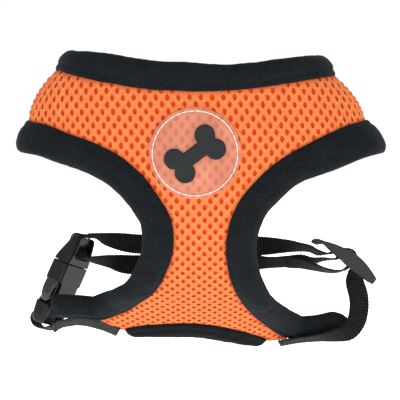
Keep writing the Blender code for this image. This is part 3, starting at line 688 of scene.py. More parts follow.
def perforated(name, shown, cloth, seed):
    """The knitted face of the air mesh, with its holes, over an outline that runs on under the bindings."""
    rng = np.random.default_rng(seed)
    cut = grown(shown, UNDER_BINDING)
    rim = even_loop(cut, 2.2)
    middles = hole_middles(shown)
    deep = inside_and_near(middles, shown)
    room = inside_and_near(middles, cut)
    holes = middles[(deep > -0.1) & (room > RIM_CLEAR) & (from_ends(middles, shown) > END_CLEAR)]
    nodes = holes + (HOLE_PITCH / 2, 0)
    nodes = nodes[(inside_and_near(nodes, cut) > NODE_CLEAR) & (from_ends(nodes, shown) > NODE_CLEAR)]
    middles = holes + rng.uniform(-WANDER, WANDER, holes.shape)
    size = rng.uniform(*SIZE_RANGE, (len(holes), 2))
    turn = np.arange(RING_POINTS) * TAU / RING_POINTS
    circle = np.stack([np.sign(f(turn)) * np.abs(f(turn)) ** LOZENGE for f in (np.cos, np.sin)], 1)

    def ring(wider, taller):
        reach = np.array((HOLE_WIDE + wider, HOLE_TALL + taller)) * size
        return (middles[:, None, :] + circle[None] * reach[:, None, :]).reshape(-1, 2)

    groove = ring(*GROOVE[:2])
    points, cells, origin = triangles(rim, np.vstack([groove, nodes]))
    first = len(rim)
    count = len(groove)
    hole_of = [(o - first) // RING_POINTS if first <= o < first + count else -1 for o in origin]
    faces = []
    used = set()
    for f in cells:
        owner = {hole_of[i] for i in f}
        if len(owner) > 1 or -1 in owner:
            faces.append(f)
            used.update((f[i], f[(i + 1) % 3]) for i in range(3))
    place_of = {o: i for i, o in enumerate(origin)}
    n = len(points)
    levels = np.where(np.array(hole_of) < 0, TOP_LEVEL, GROOVE[2])
    flat = np.vstack([points] + [ring(wider, taller) for wider, taller, _ in HOLE_RINGS] + [points])
    off = np.concatenate([levels] + [np.full(count, h) for _, _, h in HOLE_RINGS] + [np.full(n, UNDERSIDE)])
    bottom = n + len(HOLE_RINGS) * count
    all_faces = faces + [tuple(bottom + i for i in reversed(f)) for f in faces]
    for k in range(len(holes)):
        top = [place_of[first + k * RING_POINTS + j] for j in range(RING_POINTS)]
        loops = [top]
        for r in range(len(HOLE_RINGS)):
            loops.append([n + r * count + k * RING_POINTS + j for j in range(RING_POINTS)])
        loops.append([bottom + i for i in top])
        for a, b in zip(loops, loops[1:]):
            for j in range(RING_POINTS):
                i = (j + 1) % RING_POINTS
                all_faces.append((a[j], a[i], b[i], b[j]))
    for a, b in used:
        if (b, a) not in used and hole_of[a] < 0 and hole_of[b] < 0:
            all_faces.append((b, a, bottom + a, bottom + b))
    edge = inside_and_near(flat, shown)
    off = off * pinch(edge) + 0.05 * np.sin(flat[:, 0] * 0.9) * np.sin(flat[:, 1] * 0.7)
    verts = on_form(fold(cloth.angle(flat[:, 0], flat[:, 1])), flat[:, 1], off)
    obj = new_mesh(name, verts, all_faces, MESH_CLOTH, uv=flat)
    # Painted shade: this point attribute darkens the air mesh colour towards the binding edges.
    binding_shade_mask = obj.data.attributes.new("binding_shade_mask", "FLOAT", "POINT")
    binding_shade_mask.data.foreach_set("value", smooth(-0.4, 2.2, edge))
    return obj


def pinch(edge):
    """How much of its thickness the cloth keeps, this far inside the edge of what shows."""
    return 0.5 + 0.5 * smooth(-0.6, 3.0, edge)


def fold(angle):
    """Angles past the middle of the back, as the form counts them."""
    return np.where(angle > 180, angle - 360, angle)


def lining(name, shown, cloth):
    """The spacer layer behind the holes, in a darker, redder copy of the knit that paints the shade inside
    the holes, and the knit that lies against the dog.
    """
    points, faces = plate(even_loop(grown(shown, 1.6), 2.4), 2.6, 1.1)
    n = len(points)
    thin = pinch(inside_and_near(points, shown))
    flat = np.vstack([points, points])
    off = np.concatenate([0.35 * thin, -1.1 * thin])
    verts = on_form(fold(cloth.angle(flat[:, 0], flat[:, 1])), flat[:, 1], off)
    obj = new_mesh(name, verts, faces, SHADED_HOLE_CLOTH, uv=flat)
    obj.data.materials.append(LINING_CLOTH)
    for poly in obj.data.polygons:
        if min(poly.vertices) >= n:
            poly.material_index = 1
    return obj


# ---------------------------------------------------------------- chest panel and nape band

SEAM = 89.9


def level(path, angle):
    """The distance down at which a path crosses an angle."""
    order = np.argsort(path[:, 0])
    return float(np.interp(angle, path[order, 0], path[order, 1]))


def chest_outline():
    """The panel's flat outline: neck, right wing and side, hem, then the left side back up."""
    neck = form_path([q for q in NECK_LOOP if abs(q[0]) <= 92], PATH_STEP)
    left = form_path(ARM_LEFT, PATH_STEP)
    right = form_path(ARM_RIGHT, PATH_STEP)
    hem = form_path(HEM_EDGE, PATH_STEP)
    points = [(-SEAM, level(neck, -SEAM))]
    points += [tuple(q) for q in neck if abs(q[0]) < SEAM - 1]
    points += [(SEAM, level(neck, SEAM)), (SEAM, level(right[right[:, 1] < WINGS_ABOVE], SEAM))]
    for q in right[::-1]:
        if q[0] < SEAM - 1 and (q[1] < 178.3 and q[0] < 33 or q[1] < 150):
            points.append(tuple(q))
    points.append(HEM_CORNER)
    points += [tuple(q) for q in hem[::-1]]
    for q in left:
        if q[0] > -SEAM + 1 and (q[0] > -35.5 or q[1] < WINGS_ABOVE):
            points.append(tuple(q))
    points.append((-SEAM, level(left[left[:, 1] < WINGS_ABOVE], -SEAM)))
    points = np.array(points)
    return np.stack([FRONT.flat(points[:, 0], points[:, 1]), points[:, 1]], 1)


def nape_outline():
    neck = form_path(NECK_LOOP, PATH_STEP)
    arm = form_path([q for q in ARM_LEFT if q[0] < -60], PATH_STEP)
    angles = np.linspace(90.1, 269.9, 90)
    top = np.array([level(neck, a) for a in fold(angles)])
    low = np.array([level(arm, -min(abs(a), 179.4)) for a in fold(angles)])
    points = np.vstack([np.stack([angles, top], 1), np.stack([angles, low], 1)[::-1]])
    return np.stack([BACK.flat(points[:, 0], points[:, 1]), points[:, 1]], 1)


def make_mesh_cloth():
    for name, outline, cloth, seed in (
        ("chest_mesh_panel", chest_outline(), FRONT, 7),
        ("nape_mesh_band", nape_outline(), BACK, 11),
    ):
        face = perforated(name + "_face", outline, cloth, seed)
        inner = lining(name + "_lining", outline, cloth)
        belongs(face, name, "vest")
        belongs(inner, name, "vest")
        width, length = ((outline.max(0) - outline.min(0)) * MM).tolist()
        area = max(0.31 * (width * length), abs(area_of(outline)) * MM * MM)


# ---------------------------------------------------------------- padded bindings

ROLL_STEP = 1.3
FILLING_DRAW = 0.6
ROLL_POINTS = 34


def roll_section(w, t):
    """A binding's section as (across, out): a fold round the mesh edge, a dip, then the padded roll."""
    control = [
        (-0.4, 0.9), (-0.3, 1.6), (0.4, 2.35), (1.5, 2.75), (2.5, 2.7), (0.27 * w, 0.86 * t),
        (0.42 * w, 0.98 * t), (0.6 * w, t), (0.78 * w, 0.88 * t), (0.93 * w, 0.52 * t), (w, 0.0),
        (0.93 * w, -0.52 * t), (0.78 * w, -0.86 * t), (0.6 * w, -0.97 * t), (0.42 * w, -0.94 * t),
        (0.27 * w, -0.8 * t), (2.4, -2.35), (1.3, -2.4), (0.3, -2.1), (-0.3, -1.5), (-0.4, -0.8), (0.2, -0.4),
        (0.2, 0.4), (-0.4, 0.9),
    ]
    q = spline(control, 8)
    return even(q, q, np.linalg.norm(np.diff(q, axis=0), axis=1).sum() / ROLL_POINTS)[:ROLL_POINTS]


def frames(path, side, turn=None, closed=False):
    """Positions, across and out directions along a mesh edge, turned and slipped where the wing is turned."""
    at = form(path[:, 0], path[:, 1])
    if closed:
        along = unit(np.roll(at, -1, 0) - np.roll(at, 1, 0))
    else:
        along = unit(np.gradient(at, axis=0))
    normal = out_of(path[:, 0], path[:, 1])
    across = unit(np.cross(along, normal)) * side
    out = unit(normal - along * np.sum(normal * along, 1, keepdims=True))
    r = np.radians(turn(path))[:, None] if turn else np.zeros((len(path), 1))
    turned = across * np.cos(r) - out * np.sin(r)
    out = out * np.cos(r) + across * np.sin(r)
    return at + turned * 1.8 * np.sin(r), turned, out


def end_shrink(path_far, closed, reach):
    """How much of its section a roll keeps: rounded off towards free ends."""
    if closed:
        return np.ones(len(path_far))
    d = np.minimum(path_far, path_far[-1] - path_far)
    q = 1 - np.clip((d + 0.4) / reach, 0, 1)
    return np.sqrt(np.maximum(1 - q * q, 0.02))


SIM_SCALE = 20.0
SIM_FRAMES = 14
SIM_CAP = 1.1
SIM_PRESSURE = 2.2
SIM_SPARE = 0.03
HELD_SEAM = 2.9
NAP_NOISE = ((900.0, 0.55), (330.0, 0.7), (90.0, 1.6))
NAP_ROUGH = 0.16


def puff(obj, held):
    """Fills a padded piece by cloth simulation, held along its seam, and keeps the shape it takes.

    It is simulated enlarged SIM_SCALE times, because cloth settles badly at millimetre sizes."""
    rest = np.empty(len(obj.data.vertices) * 3)
    obj.data.vertices.foreach_get("co", rest)
    rest = rest.reshape(-1, 3)
    copy = placed("simulated", obj.data.copy())
    copy.data.vertices.foreach_set("co", (rest * SIM_SCALE).ravel())
    group = copy.vertex_groups.new(name="seam")
    group.add([int(i) for i in held], 1.0, "REPLACE")
    cloth = copy.modifiers.new("cloth", "CLOTH")
    settings = cloth.settings
    settings.quality = 4
    settings.mass = 0.1
    settings.tension_stiffness = 12
    settings.compression_stiffness = 12
    settings.shear_stiffness = 6
    settings.bending_stiffness = 0.3
    settings.use_pressure = True
    settings.uniform_pressure_force = SIM_PRESSURE
    settings.shrink_min = -SIM_SPARE
    settings.shrink_max = -SIM_SPARE
    settings.effector_weights.gravity = 0
    settings.vertex_group_mass = "seam"
    cloth.collision_settings.use_collision = False
    cloth.point_cache.frame_end = SIM_FRAMES
    scene = bpy.context.scene
    for f in range(1, SIM_FRAMES + 1):
        scene.frame_set(f)
    shaped = copy.evaluated_get(bpy.context.evaluated_depsgraph_get()).data
    done = np.empty(len(rest) * 3)
    shaped.vertices.foreach_get("co", done)
    move = done.reshape(-1, 3) / SIM_SCALE - rest
    size = np.linalg.norm(move, axis=1, keepdims=True)
    move *= np.minimum(1, SIM_CAP * MM / np.maximum(size, 1e-9))
    obj.data.vertices.foreach_set("co", (rest + move).ravel())
    bpy.data.objects.remove(copy)
    scene.frame_set(1)


def napped(obj):
    """One subdivision, then the small unevenness of brushed cloth."""
    sub = obj.modifiers.new("subdivision", "SUBSURF")
    sub.levels = 1
    sub.render_levels = 1
    shaped = shaped_by_modifiers(obj)
    co = np.empty(len(shaped.vertices) * 3)
    normal = np.empty(len(co))
    shaped.vertices.foreach_get("co", co)
    shaped.vertex_normals.foreach_get("vector", normal)
    lift = np.array([
        sum(noise.noise(Vector(p) * fine) * share for fine, share in NAP_NOISE) for p in co.reshape(-1, 3)
    ])
    co = co.reshape(-1, 3) + normal.reshape(-1, 3) * (lift * NAP_ROUGH * MM)[:, None]
    shaped.vertices.foreach_set("co", co.ravel())
    shaped.shade_smooth()


def binding(name, path, side, width, thick, closed=False, turn=None, ends=6.0, slip=None):
    """A padded binding swept along a mesh edge; slip moves the rings of a tail that lies over a strap."""
    at, across, out = frames(path, side, turn, closed)
    if slip:
        at = at + slip(path)
    far = distances(at)
    keep = end_shrink(far, closed, ends)
    wide = (width(path) if callable(width) else np.full(len(path), width)) + FILLING_DRAW
    rings = []
    for k in range(len(path)):
        section = roll_section(wide[k], thick)
        middle = np.array((0.5 * wide[k], 0.0))
        section = middle + (section - middle) * (1 - (1 - keep[k]) * np.array((0.55, 1.0)))
        rings.append(at[k] + section[:, :1] * across[k] + section[:, 1:] * out[k])
    obj = swept(name + "_roll", np.array(rings), NAP, closed)
    reach = np.tile(roll_section(float(np.mean(wide)), thick)[:, 0], len(rings))
    puff(obj, np.nonzero(reach < HELD_SEAM)[0])
    napped(obj)
    belongs(obj, name, "vest")


def left_turn(q):
    return 20.0 * smooth(120, 150, q[:, 1])


def right_turn(q):
    return 20.0 * smooth(130, 172, q[:, 1])


def tail_slip(q, start, end, move):
    return smooth(start, end, q[:, 0])[:, None] * (q[:, 1] > 100)[:, None] * np.array(move)


def left_slip(q):
    """The left tail lies out over the buckle."""
    return tail_slip(q, -43, -57, (-5.2, -4.4, -0.6))


def right_slip(q):
    """The right tail reaches the strap."""
    return tail_slip(q, 50, 71, (2.6, -1.4, 0.0))


def right_width(q):
    near_wing = smooth(25, 45, q[:, 0]) * (1 - smooth(80, 150, q[:, 0]))
    return ARM_ROLL + 2.2 * near_wing * (1 - smooth(80, 120, q[:, 1]))


def neck_width(q):
    return NECK_ROLL + 1.5 * smooth(-66, -38, q[:, 0]) * (1 - smooth(-6, 14, q[:, 0]))


def hem_width(q):
    return 6.5 + 7.5 * (1 - np.minimum(1, np.abs((q[:, 0] + 1) / 27)) ** 2.2)


def make_bindings():
    neck = form_path(NECK_LOOP, ROLL_STEP)[:-1]
    binding("neck_binding", neck, -1, neck_width, ROLL_HALF, closed=True)
    left = form_path(ARM_LEFT, ROLL_STEP)
    binding("armhole_binding_left", left, -1, ARM_ROLL, ROLL_HALF, turn=left_turn, slip=left_slip)
    right = form_path(ARM_RIGHT, ROLL_STEP)
    binding("armhole_binding_right", right, 1, right_width, ROLL_HALF, turn=right_turn, slip=right_slip)
    hem = form_path(HEM_EDGE, ROLL_STEP)
    binding("hem_binding", hem, 1, hem_width, HEM_HALF, ends=5.0)


# ---------------------------------------------------------------- webbing


def in_buckle(long, thick, wide=0.0):
    return tuple(BUCKLE_AT + BUCKLE_LONG * long + BUCKLE_THICK * thick + BUCKLE_WIDE * wide)


def in_slider(long, out):
    return tuple(SLIDER_AT + SLIDER_LONG * long + SLIDER_OUT * out)


DOWN = (0.0, 0.85, -0.53)
FACING_UP = (0.0, -0.93, 0.36)
BACKWARD = (0.0, 1.0, 0.0)
UPRIGHT = (0.0, 0.0, -1.0)
ACROSS = (1.0, 0.0, 0.0)
ALONG_BAR = tuple(BUCKLE_WIDE)

def heading(width, *places):
    """Stations whose width points the same way."""
    return [(place, width) for place in places]


# The girth strap's way, as (place, direction of its width): wing, slider, outer ply, buckle, inner ply, eye
GIRTH = [
    *heading(FACING_UP, (40.5, 57.0, -134.6), (50.0, 55.6, -132.8)),
    ((60.0, 54.0, -131.5), (-0.04, -0.9, 0.44)),
    ((68.5, 52.4, -130.2), (-0.2, -0.7, 0.68)),
    ((74.8, 50.8, -128.4), (-0.5, -0.4, 0.76)),
    ((78.6, 49.0, -123.2), (-0.82, -0.2, 0.52)),
    ((79.9, 47.2, -116.6), (-0.98, -0.05, 0.18)),
    ((79.6, 45.8, -110.2), (-1.0, 0.0, 0.0)),
    ((78.0, 44.4, -104.6), (-0.97, 0.25, 0.0)),
    (in_slider(-9.5, -5.6), (-0.85, 0.5, 0.0)),
    (in_slider(-7.0, -2.6), (-0.4, 0.92, 0.0)),
    *heading(BACKWARD, in_slider(-5.4, 2.2), in_slider(-1.4, 5.9), in_slider(4.6, 3.2), in_slider(7.8, -1.6)),
    (in_slider(12.5, -4.4), (0.0, 0.96, -0.28)),
    (in_slider(17.5, -5.2), (0.0, 0.93, -0.36)),
    ((49.0, 43.8, -85.4), (0.0, 0.86, -0.5)),
    ((41.0, 43.0, -84.9), (0.0, 0.66, -0.75)),
    *heading(UPRIGHT, (24.0, 42.0, -84.8), (0.0, 42.0, -84.6), (-22.0, 41.6, -84.0)),
    ((-33.0, 41.4, -83.6), (0.0, 0.1, -1.0)),
    (in_buckle(26.4, 11.0), (0.25, 0.75, -0.6)),
    *heading(
        ALONG_BAR, in_buckle(25.2, 5.0), in_buckle(BAR_L + WRAP, 0.8),
        in_buckle(BAR_L + WRAP * 0.75, -WRAP * 0.75), in_buckle(BAR_L, -WRAP),
        in_buckle(BAR_L - WRAP * 0.8, -WRAP * 0.7), in_buckle(BAR_L - WRAP - 0.6, 0.6), in_buckle(13.6, 5.8),
    ),
    ((-44.5, 42.6, -92.6), (0.15, 0.7, -0.7)),
    ((-34.0, 44.0, -94.2), (0.0, 0.1, -1.0)),
    *heading(UPRIGHT, (-20.0, 45.2, -93.8), (0.0, 45.8, -93.2)),
    ((20.0, 45.6, -92.8), (0.0, 0.3, -0.95)),
    ((34.0, 45.0, -93.2), (0.0, 0.78, -0.62)),
    ((44.0, 44.6, -92.6), (0.0, 0.8, -0.6)),
    (in_slider(18.2, -12.2), (0.0, 0.84, -0.55)),
    (in_slider(13.4, -10.0), (0.0, 0.9, -0.42)),
    (in_slider(9.0, -6.0), (0.0, 0.98, -0.2)),
    *heading(BACKWARD, in_slider(3.8, -2.2), in_slider(2.9, 0.9), in_slider(0.0, 2.5), in_slider(-2.9, 0.9)),
    (in_slider(-3.2, -3.4), BACKWARD),
    (in_slider(0.0, -7.3), (0.0, 0.98, -0.15)),
    (in_slider(5.2, -9.9), (0.0, 0.96, -0.25)),
    (in_slider(11.6, -11.9), (0.0, 0.9, -0.42)),
    (in_slider(17.4, -13.9), (0.0, 0.84, -0.55)),
    (in_slider(22.8, -16.8), (0.0, 0.8, -0.6)),
]

LEFT_TAB = [
    *heading(DOWN, (-40.5, 50.5, -128.4), (-50.0, 49.6, -124.6)),
    ((-60.0, 48.8, -122.8), (0.05, 0.89, -0.45)),
    ((-68.5, 48.6, -124.0), (0.15, 0.89, -0.38)),
    *heading(
        ALONG_BAR, in_buckle(-24.6, 4.6, 0.7), in_buckle(-26.7, 0.2, 0.2), in_buckle(-26.4, -3.8),
        in_buckle(-23.6, -6.4), in_buckle(-19.6, -5.4), in_buckle(-17.4, -0.6), in_buckle(-BAR_L + WRAP, 3.6),
    ),
]


def middle_run(*places):
    """Stations of webbing that runs in the middle plane, from places as (y, z)."""
    return heading(ACROSS, *[(0.0, y, z) for y, z in places])


CONNECTOR = middle_run(
    (NAPE_Y, -14.0), (NAPE_Y, -26.0), (NAPE_Y + 0.3, -40.0), (NAPE_Y + 1.4, -56.0), (NAPE_Y + 8.0, -68.0),
    (46.0, -75.5), (49.2, -81.0), (49.6, -89.0), (49.2, -98.0), (44.0, -101.4), (39.0, -98.0), (38.6, -88.0),
    (38.6, -79.5),
)

TAB_LOOP = RING_WIRE / 2 + 0.3 + WEB_THICK / 2 + 0.35
RING_TAB_WIDTH = 8.0
RING_Y = RING_AT[1]
RING_Z = RING_AT[2]
RING_TAB = middle_run(
    (NAPE_Y + 1.7, -17.0), (NAPE_Y + 1.9, -28.0), (NAPE_Y + 2.6, -35.5), (RING_Y - TAB_LOOP, RING_Z),
    (RING_Y - TAB_LOOP * 0.6, RING_Z - TAB_LOOP * 0.75), (RING_Y, RING_Z - TAB_LOOP),
    (RING_Y + TAB_LOOP * 0.75, RING_Z - TAB_LOOP * 0.6), (RING_Y + TAB_LOOP, RING_Z),
    (RING_Y + TAB_LOOP * 0.3, RING_Z + 5.0), (NAPE_Y + 3.7, -30.0), (NAPE_Y + 3.5, -18.0),
)

RIB_STEPS = 6
HALF_EDGE = [
    (-1.0, 0.0), (-0.975, 0.55), (-0.9, 0.9), (-0.66, 1.0), (-0.33, 0.97), (0.0, 1.0), (0.33, 0.97),
    (0.66, 1.0), (0.9, 0.9), (0.975, 0.55),
]
EDGE_ROUND = HALF_EDGE + [(-a, -b) for a, b in HALF_EDGE]
WEB_CORE = 0.36
RIB_HIGH = 0.23
EDGE_IN = 0.32
EDGE_RIB = 0.3
UNEVENNESS = 0.04
THREAD_OFF = 0.62
STITCH_SPAN = (0.12, 0.88)
STITCH_THICK = 0.34
SMALLEST_FLAT = 10.0


class Webbing:
    """Ribbed webbing along (place, width direction) stations; cut() makes a stretch of it."""

    def __init__(self, stations, width, worn=0.0):
        places = spline([p for p, _ in stations])
        turns = unit(spline([unit(np.array(w, float)) for _, w in stations]))
        read = even(np.hstack([places, turns]), places, RIB_PITCH / RIB_STEPS)
        self.at = read[:, :3]
        self.far = np.arange(len(self.at)) * distances(places)[-1] / (len(self.at) - 1)
        self.along = unit(np.gradient(self.at, axis=0))
        wide = read[:, 3:]
        self.wide = unit(wide - self.along * np.sum(wide * self.along, 1, keepdims=True))
        self.out = np.cross(self.along, self.wide)
        self.width = width
        self.worn = worn

    def place(self, k, across, out):
        return self.at[k] + self.wide[k] * across + self.out[k] * out

    def cut(self, name, first, last, material):
        k = np.arange(first, last)
        rib = np.abs(np.sin(math.pi * self.far[k] / RIB_PITCH))
        rng = np.random.default_rng(len(name))
        uneven = 1 + UNEVENNESS * rng.standard_normal(len(k))
        half_t = (WEB_CORE + RIB_HIGH * rib) * uneven
        frayed = self.worn * 0.2 * rng.standard_normal(len(k))
        half_w = self.width / 2 - EDGE_IN + EDGE_RIB * rib * uneven + frayed
        wide = self.wide[k][:, None, :] * half_w[:, None, None]
        out = self.out[k][:, None, :] * half_t[:, None, None]
        edge = np.array(EDGE_ROUND)
        rings = self.at[k][:, None, :] + wide * edge[:, :1] + out * edge[:, 1:]
        uv = np.stack(np.broadcast_arrays(self.far[k][:, None], edge[:, 0] * self.width / 2), -1)
        obj = swept(name, rings, material, uv=uv.reshape(-1, 2))
        long = float(self.far[k[-1]] - self.far[k[0]]) * MM
        flat = (max(self.width, SMALLEST_FLAT) * MM, long)
        return obj


def box_stitched(name, web, first, last, half=3.4):
    """A box of lock stitches with one diagonal, on the webbing's lower side, between two of its rings."""
    lines = []
    for start, end, count, left, right in (
        (first, last, 5, -half, -half), (first, last, 5, half, half), (first, first, 6, -half, half),
        (last, last, 6, -half, half), (first, last, 7, -half, half),
    ):
        for i in range(count):
            ends = []
            for share in STITCH_SPAN:
                t = (i + share) / count
                k = round(start + (end - start) * t)
                ends.append(web.place(k, left + (right - left) * t, -THREAD_OFF))
            lines.append((*ends, -web.out[start]))
    obj = stitches(name, lines, STITCH_THICK, BLACK_THREAD)
    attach(obj, "vest")


def nearest(web, place, after=0):
    return after + int(np.argmin(np.linalg.norm(web.at[after:] - np.array(place), axis=1)))


# The girth strap's pieces: (name, a body, a start place, an end place)
STRAP_BLENDS = (
    ("girth_strap_wing_run", "strap_slider", (0.081, 0.047, -0.122), (0.079, 0.044, -0.103)),
    ("girth_strap_outer_ply", "strap_slider", (0.018, 0.042, -0.085), (0.052, 0.042, -0.085)),
    ("girth_strap_buckle_loop", "buckle_male_half", (-0.024, 0.043, -0.088), (-0.050, 0.043, -0.088)),
    ("girth_strap_inner_ply", "strap_slider", (0.018, 0.045, -0.091), (0.046, 0.045, -0.091)),
)


def make_webbing():
    girth = Webbing(GIRTH, WEB_WIDTH)
    through = nearest(girth, in_slider(0.0, 4.4))
    outer_middle = nearest(girth, (0.0, 42.0, -84.6))
    inner_middle = nearest(girth, (0.0, 45.8, -92.4), outer_middle + 200)
    joints = (0, through, outer_middle, inner_middle, len(girth.at) - 1)
    for (name, body, start, end), first, last in zip(STRAP_BLENDS, joints, joints[1:]):
        piece = girth.cut(name, first, last + 1, WEB)
        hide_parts("girth_strap")
        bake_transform(piece)
        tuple(start)
        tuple(end)
    box_stitched("girth_strap_wing_stitches", girth, 14, 44)

    for name, node, stations, width, material, worn in (
        ("left_wing_tab_webbing", "left_wing_tab", LEFT_TAB, WEB_WIDTH, WORN_WEB, 0.5),
        ("back_connector_webbing_strip", "back_connector_webbing", CONNECTOR, WEB_WIDTH, WEB, 0.0),
        ("leash_ring_tab_webbing", "leash_ring_tab", RING_TAB, RING_TAB_WIDTH, WEB, 0.0),
    ):
        web = Webbing(stations, width, worn)
        piece = web.cut(name, 0, len(web.at), material)
        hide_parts(node)
        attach(piece, "vest")
        if node == "left_wing_tab":
            box_stitched("left_wing_tab_stitches", web, 10, 40)


# ---------------------------------------------------------------- badge


def badge_place(x, y, off):
    """A place on the chest badge; x to the right and y down from its middle."""
    v = BADGE_V + np.asarray(y, float)
    return on_form(np.degrees(np.arcsin((x + BADGE_X - neck_lean(v)) / half_width(v))), v, off)


BADGE_LOW = 1.4
STITCH_LEVEL = 2.72
BADGE_TOP = 3.0
BADGE_SECTION = [
    (6.0, 3.0), (12.0, 3.0), (16.0, 2.98), (17.6, 2.95), (18.1, 2.8), (18.5, 2.68), (19.3, 2.68), (19.7, 2.8),
    (20.0, 2.78), (20.35, 2.6), (20.6, 2.2), (20.6, 1.7), (20.3, 1.4), (12.0, BADGE_LOW),
]
BADGE_TURNS = 160


def badge_disc():
    """A soft disc with a sunken channel for its stitches, from (radius, height) rings."""
    angle = np.arange(BADGE_TURNS) * TAU / BADGE_TURNS
    rings = []
    flat = []
    for r, off in BADGE_SECTION:
        x, y = r * np.cos(angle), r * np.sin(angle)
        rings.append(badge_place(x, y, np.full(BADGE_TURNS, off)))
        flat.append(np.stack([x + BADGE_X, y + BADGE_V], 1))
    obj = swept("chest_badge", np.array(rings), badge_material(), uv=np.vstack(flat))
    belongs(obj, "badge_disc", "vest")


BONE_HALF = 8.6
BONE_SHAFT = 3.4
KNOB_R = 4.6
KNOB_OUT = 3.9
BONE_TURN = math.radians(-38)


def bone_outline():
    """A plain bone: two pairs of round knobs on a straight shaft."""
    points = []
    knob = math.asin((KNOB_OUT - BONE_SHAFT) / KNOB_R)
    start = math.pi + knob
    stop = -math.asin(KNOB_OUT / KNOB_R)
    for sx, sy in ((1, 1), (1, -1), (-1, -1), (-1, 1)):
        a = np.linspace(start, stop, 26)
        arc = np.stack([sx * (BONE_HALF + KNOB_R * np.cos(a)), sy * (KNOB_OUT + KNOB_R * np.sin(a))], 1)
        points.append(arc[::-1] if sx * sy < 0 else arc)
    points = np.vstack(points)
    points = points[np.linalg.norm(points - np.roll(points, 1, 0), axis=1) > 0.1]
    c, s = math.cos(BONE_TURN), math.sin(BONE_TURN)
    return even_loop(points, 0.5) @ np.array(((c, s), (-s, c)))


def raised_mark():
    """The bone, with rounded edges and a slightly dished top."""
    rim = bone_outline()
    points, faces = plate(rim, 0.55, 0.28)
    depth = np.maximum(inside_and_near(points, rim), 0)
    q = np.clip(depth / 0.9, 0, 1)
    rise = 0.45 + 0.6 * np.sqrt(1 - (1 - q) ** 2) - 0.12 * smooth(1.6, 3.2, depth)
    flat = np.vstack([points, points])
    off = BADGE_TOP + np.concatenate([rise, np.full(len(points), -0.15)])
    obj = new_mesh("badge_bone", badge_place(flat[:, 0], flat[:, 1], off), faces, EMBLEM)
    belongs(obj, "badge_emblem", "vest")


def stitches(name, lines, thick, material):
    """Many short rounded stitches in one piece; lines holds (start, end, outward direction) in mm."""
    turns, steps = 8, 7
    angle = np.arange(turns) * TAU / turns
    verts, faces = [], []
    for start, end, out in lines:
        start, end, out = (np.array(q, float) for q in (start, end, out))
        long = unit(end - start)
        out = unit(out - long * (out @ long))
        side = np.cross(long, out)
        first = len(verts)
        for k in range(steps):
            t = k / (steps - 1)
            size = thick / 2 * max(0.25, math.sin(math.pi * (0.08 + 0.84 * t)) ** 0.45)
            middle = start + (end - start) * t + out * thick * 0.55 * math.sin(math.pi * t)
            verts += [tuple(middle + (side * math.cos(a) + out * math.sin(a)) * size) for a in angle]
        faces += [tuple(first + i for i in f) for f in grid_faces(steps, turns)]
    return new_mesh(name, verts, faces, material)


def badge_stitches():
    count = 40
    share = np.array((0.03, 0.97))
    radius = STITCH_R + np.array((0.0, 0.1))
    lines = []
    for k in range(count):
        a = TAU * (k + share) / count
        ends = badge_place(radius * np.cos(a), radius * np.sin(a), np.full(2, STITCH_LEVEL))
        lines.append((ends[0], ends[1], (0, -1, 0.15)))
    obj = stitches("badge_stitches", lines, 0.46, WHITE_THREAD)
    belongs(obj, "badge_stitch_ring", "vest")


# ---------------------------------------------------------------- moulded hardware


RING_TURNS = 20


def d_ring():
    """Bent round wire: a straight side in its tab and a round bow."""
    path = [(-3.5, 0.0), (0.0, 0.0), (3.5, 0.0), (RING_HALF - 1.1, -0.2), (RING_HALF, -1.6)]
    for a in -math.pi * np.arange(25) / 24:
        path.append((RING_HALF * math.cos(a), -5.0 + RING_HALF * math.sin(a) * 1.15))
    path += [(-RING_HALF, -1.6), (-RING_HALF + 1.1, -0.2), (-3.5, 0.0)]
    q = spline(path, 8)
    q = even(q, q, 0.45)[:-1]
    at = RING_AT + np.stack([q[:, 0], np.zeros(len(q)), q[:, 1]], 1)
    along = unit(np.roll(at, -1, 0) - np.roll(at, 1, 0))
    side = unit(np.cross(along, (0, 1, 0)))
    turn = TAU * np.arange(RING_TURNS) / RING_TURNS
    round_wire = side[:, None] * np.cos(turn)[:, None] + np.array((0, 1, 0)) * np.sin(turn)[:, None]
    rings = at[:, None] + round_wire * RING_WIRE / 2
    obj = swept("leash_ring_wire", rings, metal_material(), closed=True)
    belongs(obj, "leash_d_ring", "leash_ring")


def rounded(a0, a1, b0, b1, r, steps=5):
    """A rounded rectangle's outline."""
    points = []
    corners = ((a1 - r, b1 - r, 0), (a0 + r, b1 - r, 90), (a0 + r, b0 + r, 180), (a1 - r, b0 + r, 270))
    for ca, cb, start in corners:
        for k in range(steps):
            a = math.radians(start + 90 * k / (steps - 1))
            points.append((ca + r * math.cos(a), cb + r * math.sin(a)))
    return points


def loft(place, sections):
    """A solid through rounded rectangles: (along, a low, a high, b low, b high, corner)."""
    verts = [place(along, a, b) for along, *box in sections for a, b in rounded(*box)]
    return verts, grid_faces(len(sections), len(verts) // len(sections))


def prism(place, outline, low, high):
    """An outline in (along, a), from b low to b high."""
    verts = [place(along, a, b) for b in (low, high) for along, a in outline]
    return verts, grid_faces(2, len(outline))


def carved(node, name, body, material, solids, cuts=(), voxel=0.18, rounds=5):
    """Joins the solids, cuts the cuts out of them, and rounds every edge as moulding does."""
    obj = new_mesh(name, *solids[0], material)
    tools = []
    for operation, shapes in (("UNION", solids[1:]), ("DIFFERENCE", cuts)):
        for shape in shapes:
            tool = new_mesh(name + "_tool", *shape, material)
            join = obj.modifiers.new(operation, "BOOLEAN")
            join.operation = operation
            join.solver = "EXACT"
            join.object = tool
            tools.append(tool)
    remesh = obj.modifiers.new("remesh", "REMESH")
    remesh.mode = "VOXEL"
    remesh.voxel_size = voxel * MM
    soften = obj.modifiers.new("soften", "SMOOTH")
    soften.factor = 0.5
    soften.iterations = rounds
    shaped = shaped_by_modifiers(obj)
    shaped.materials.clear()
    shaped.materials.append(material)
    shaped.shade_smooth()
    for tool in tools:
        bpy.data.objects.remove(tool)
    belongs(obj, node, body)


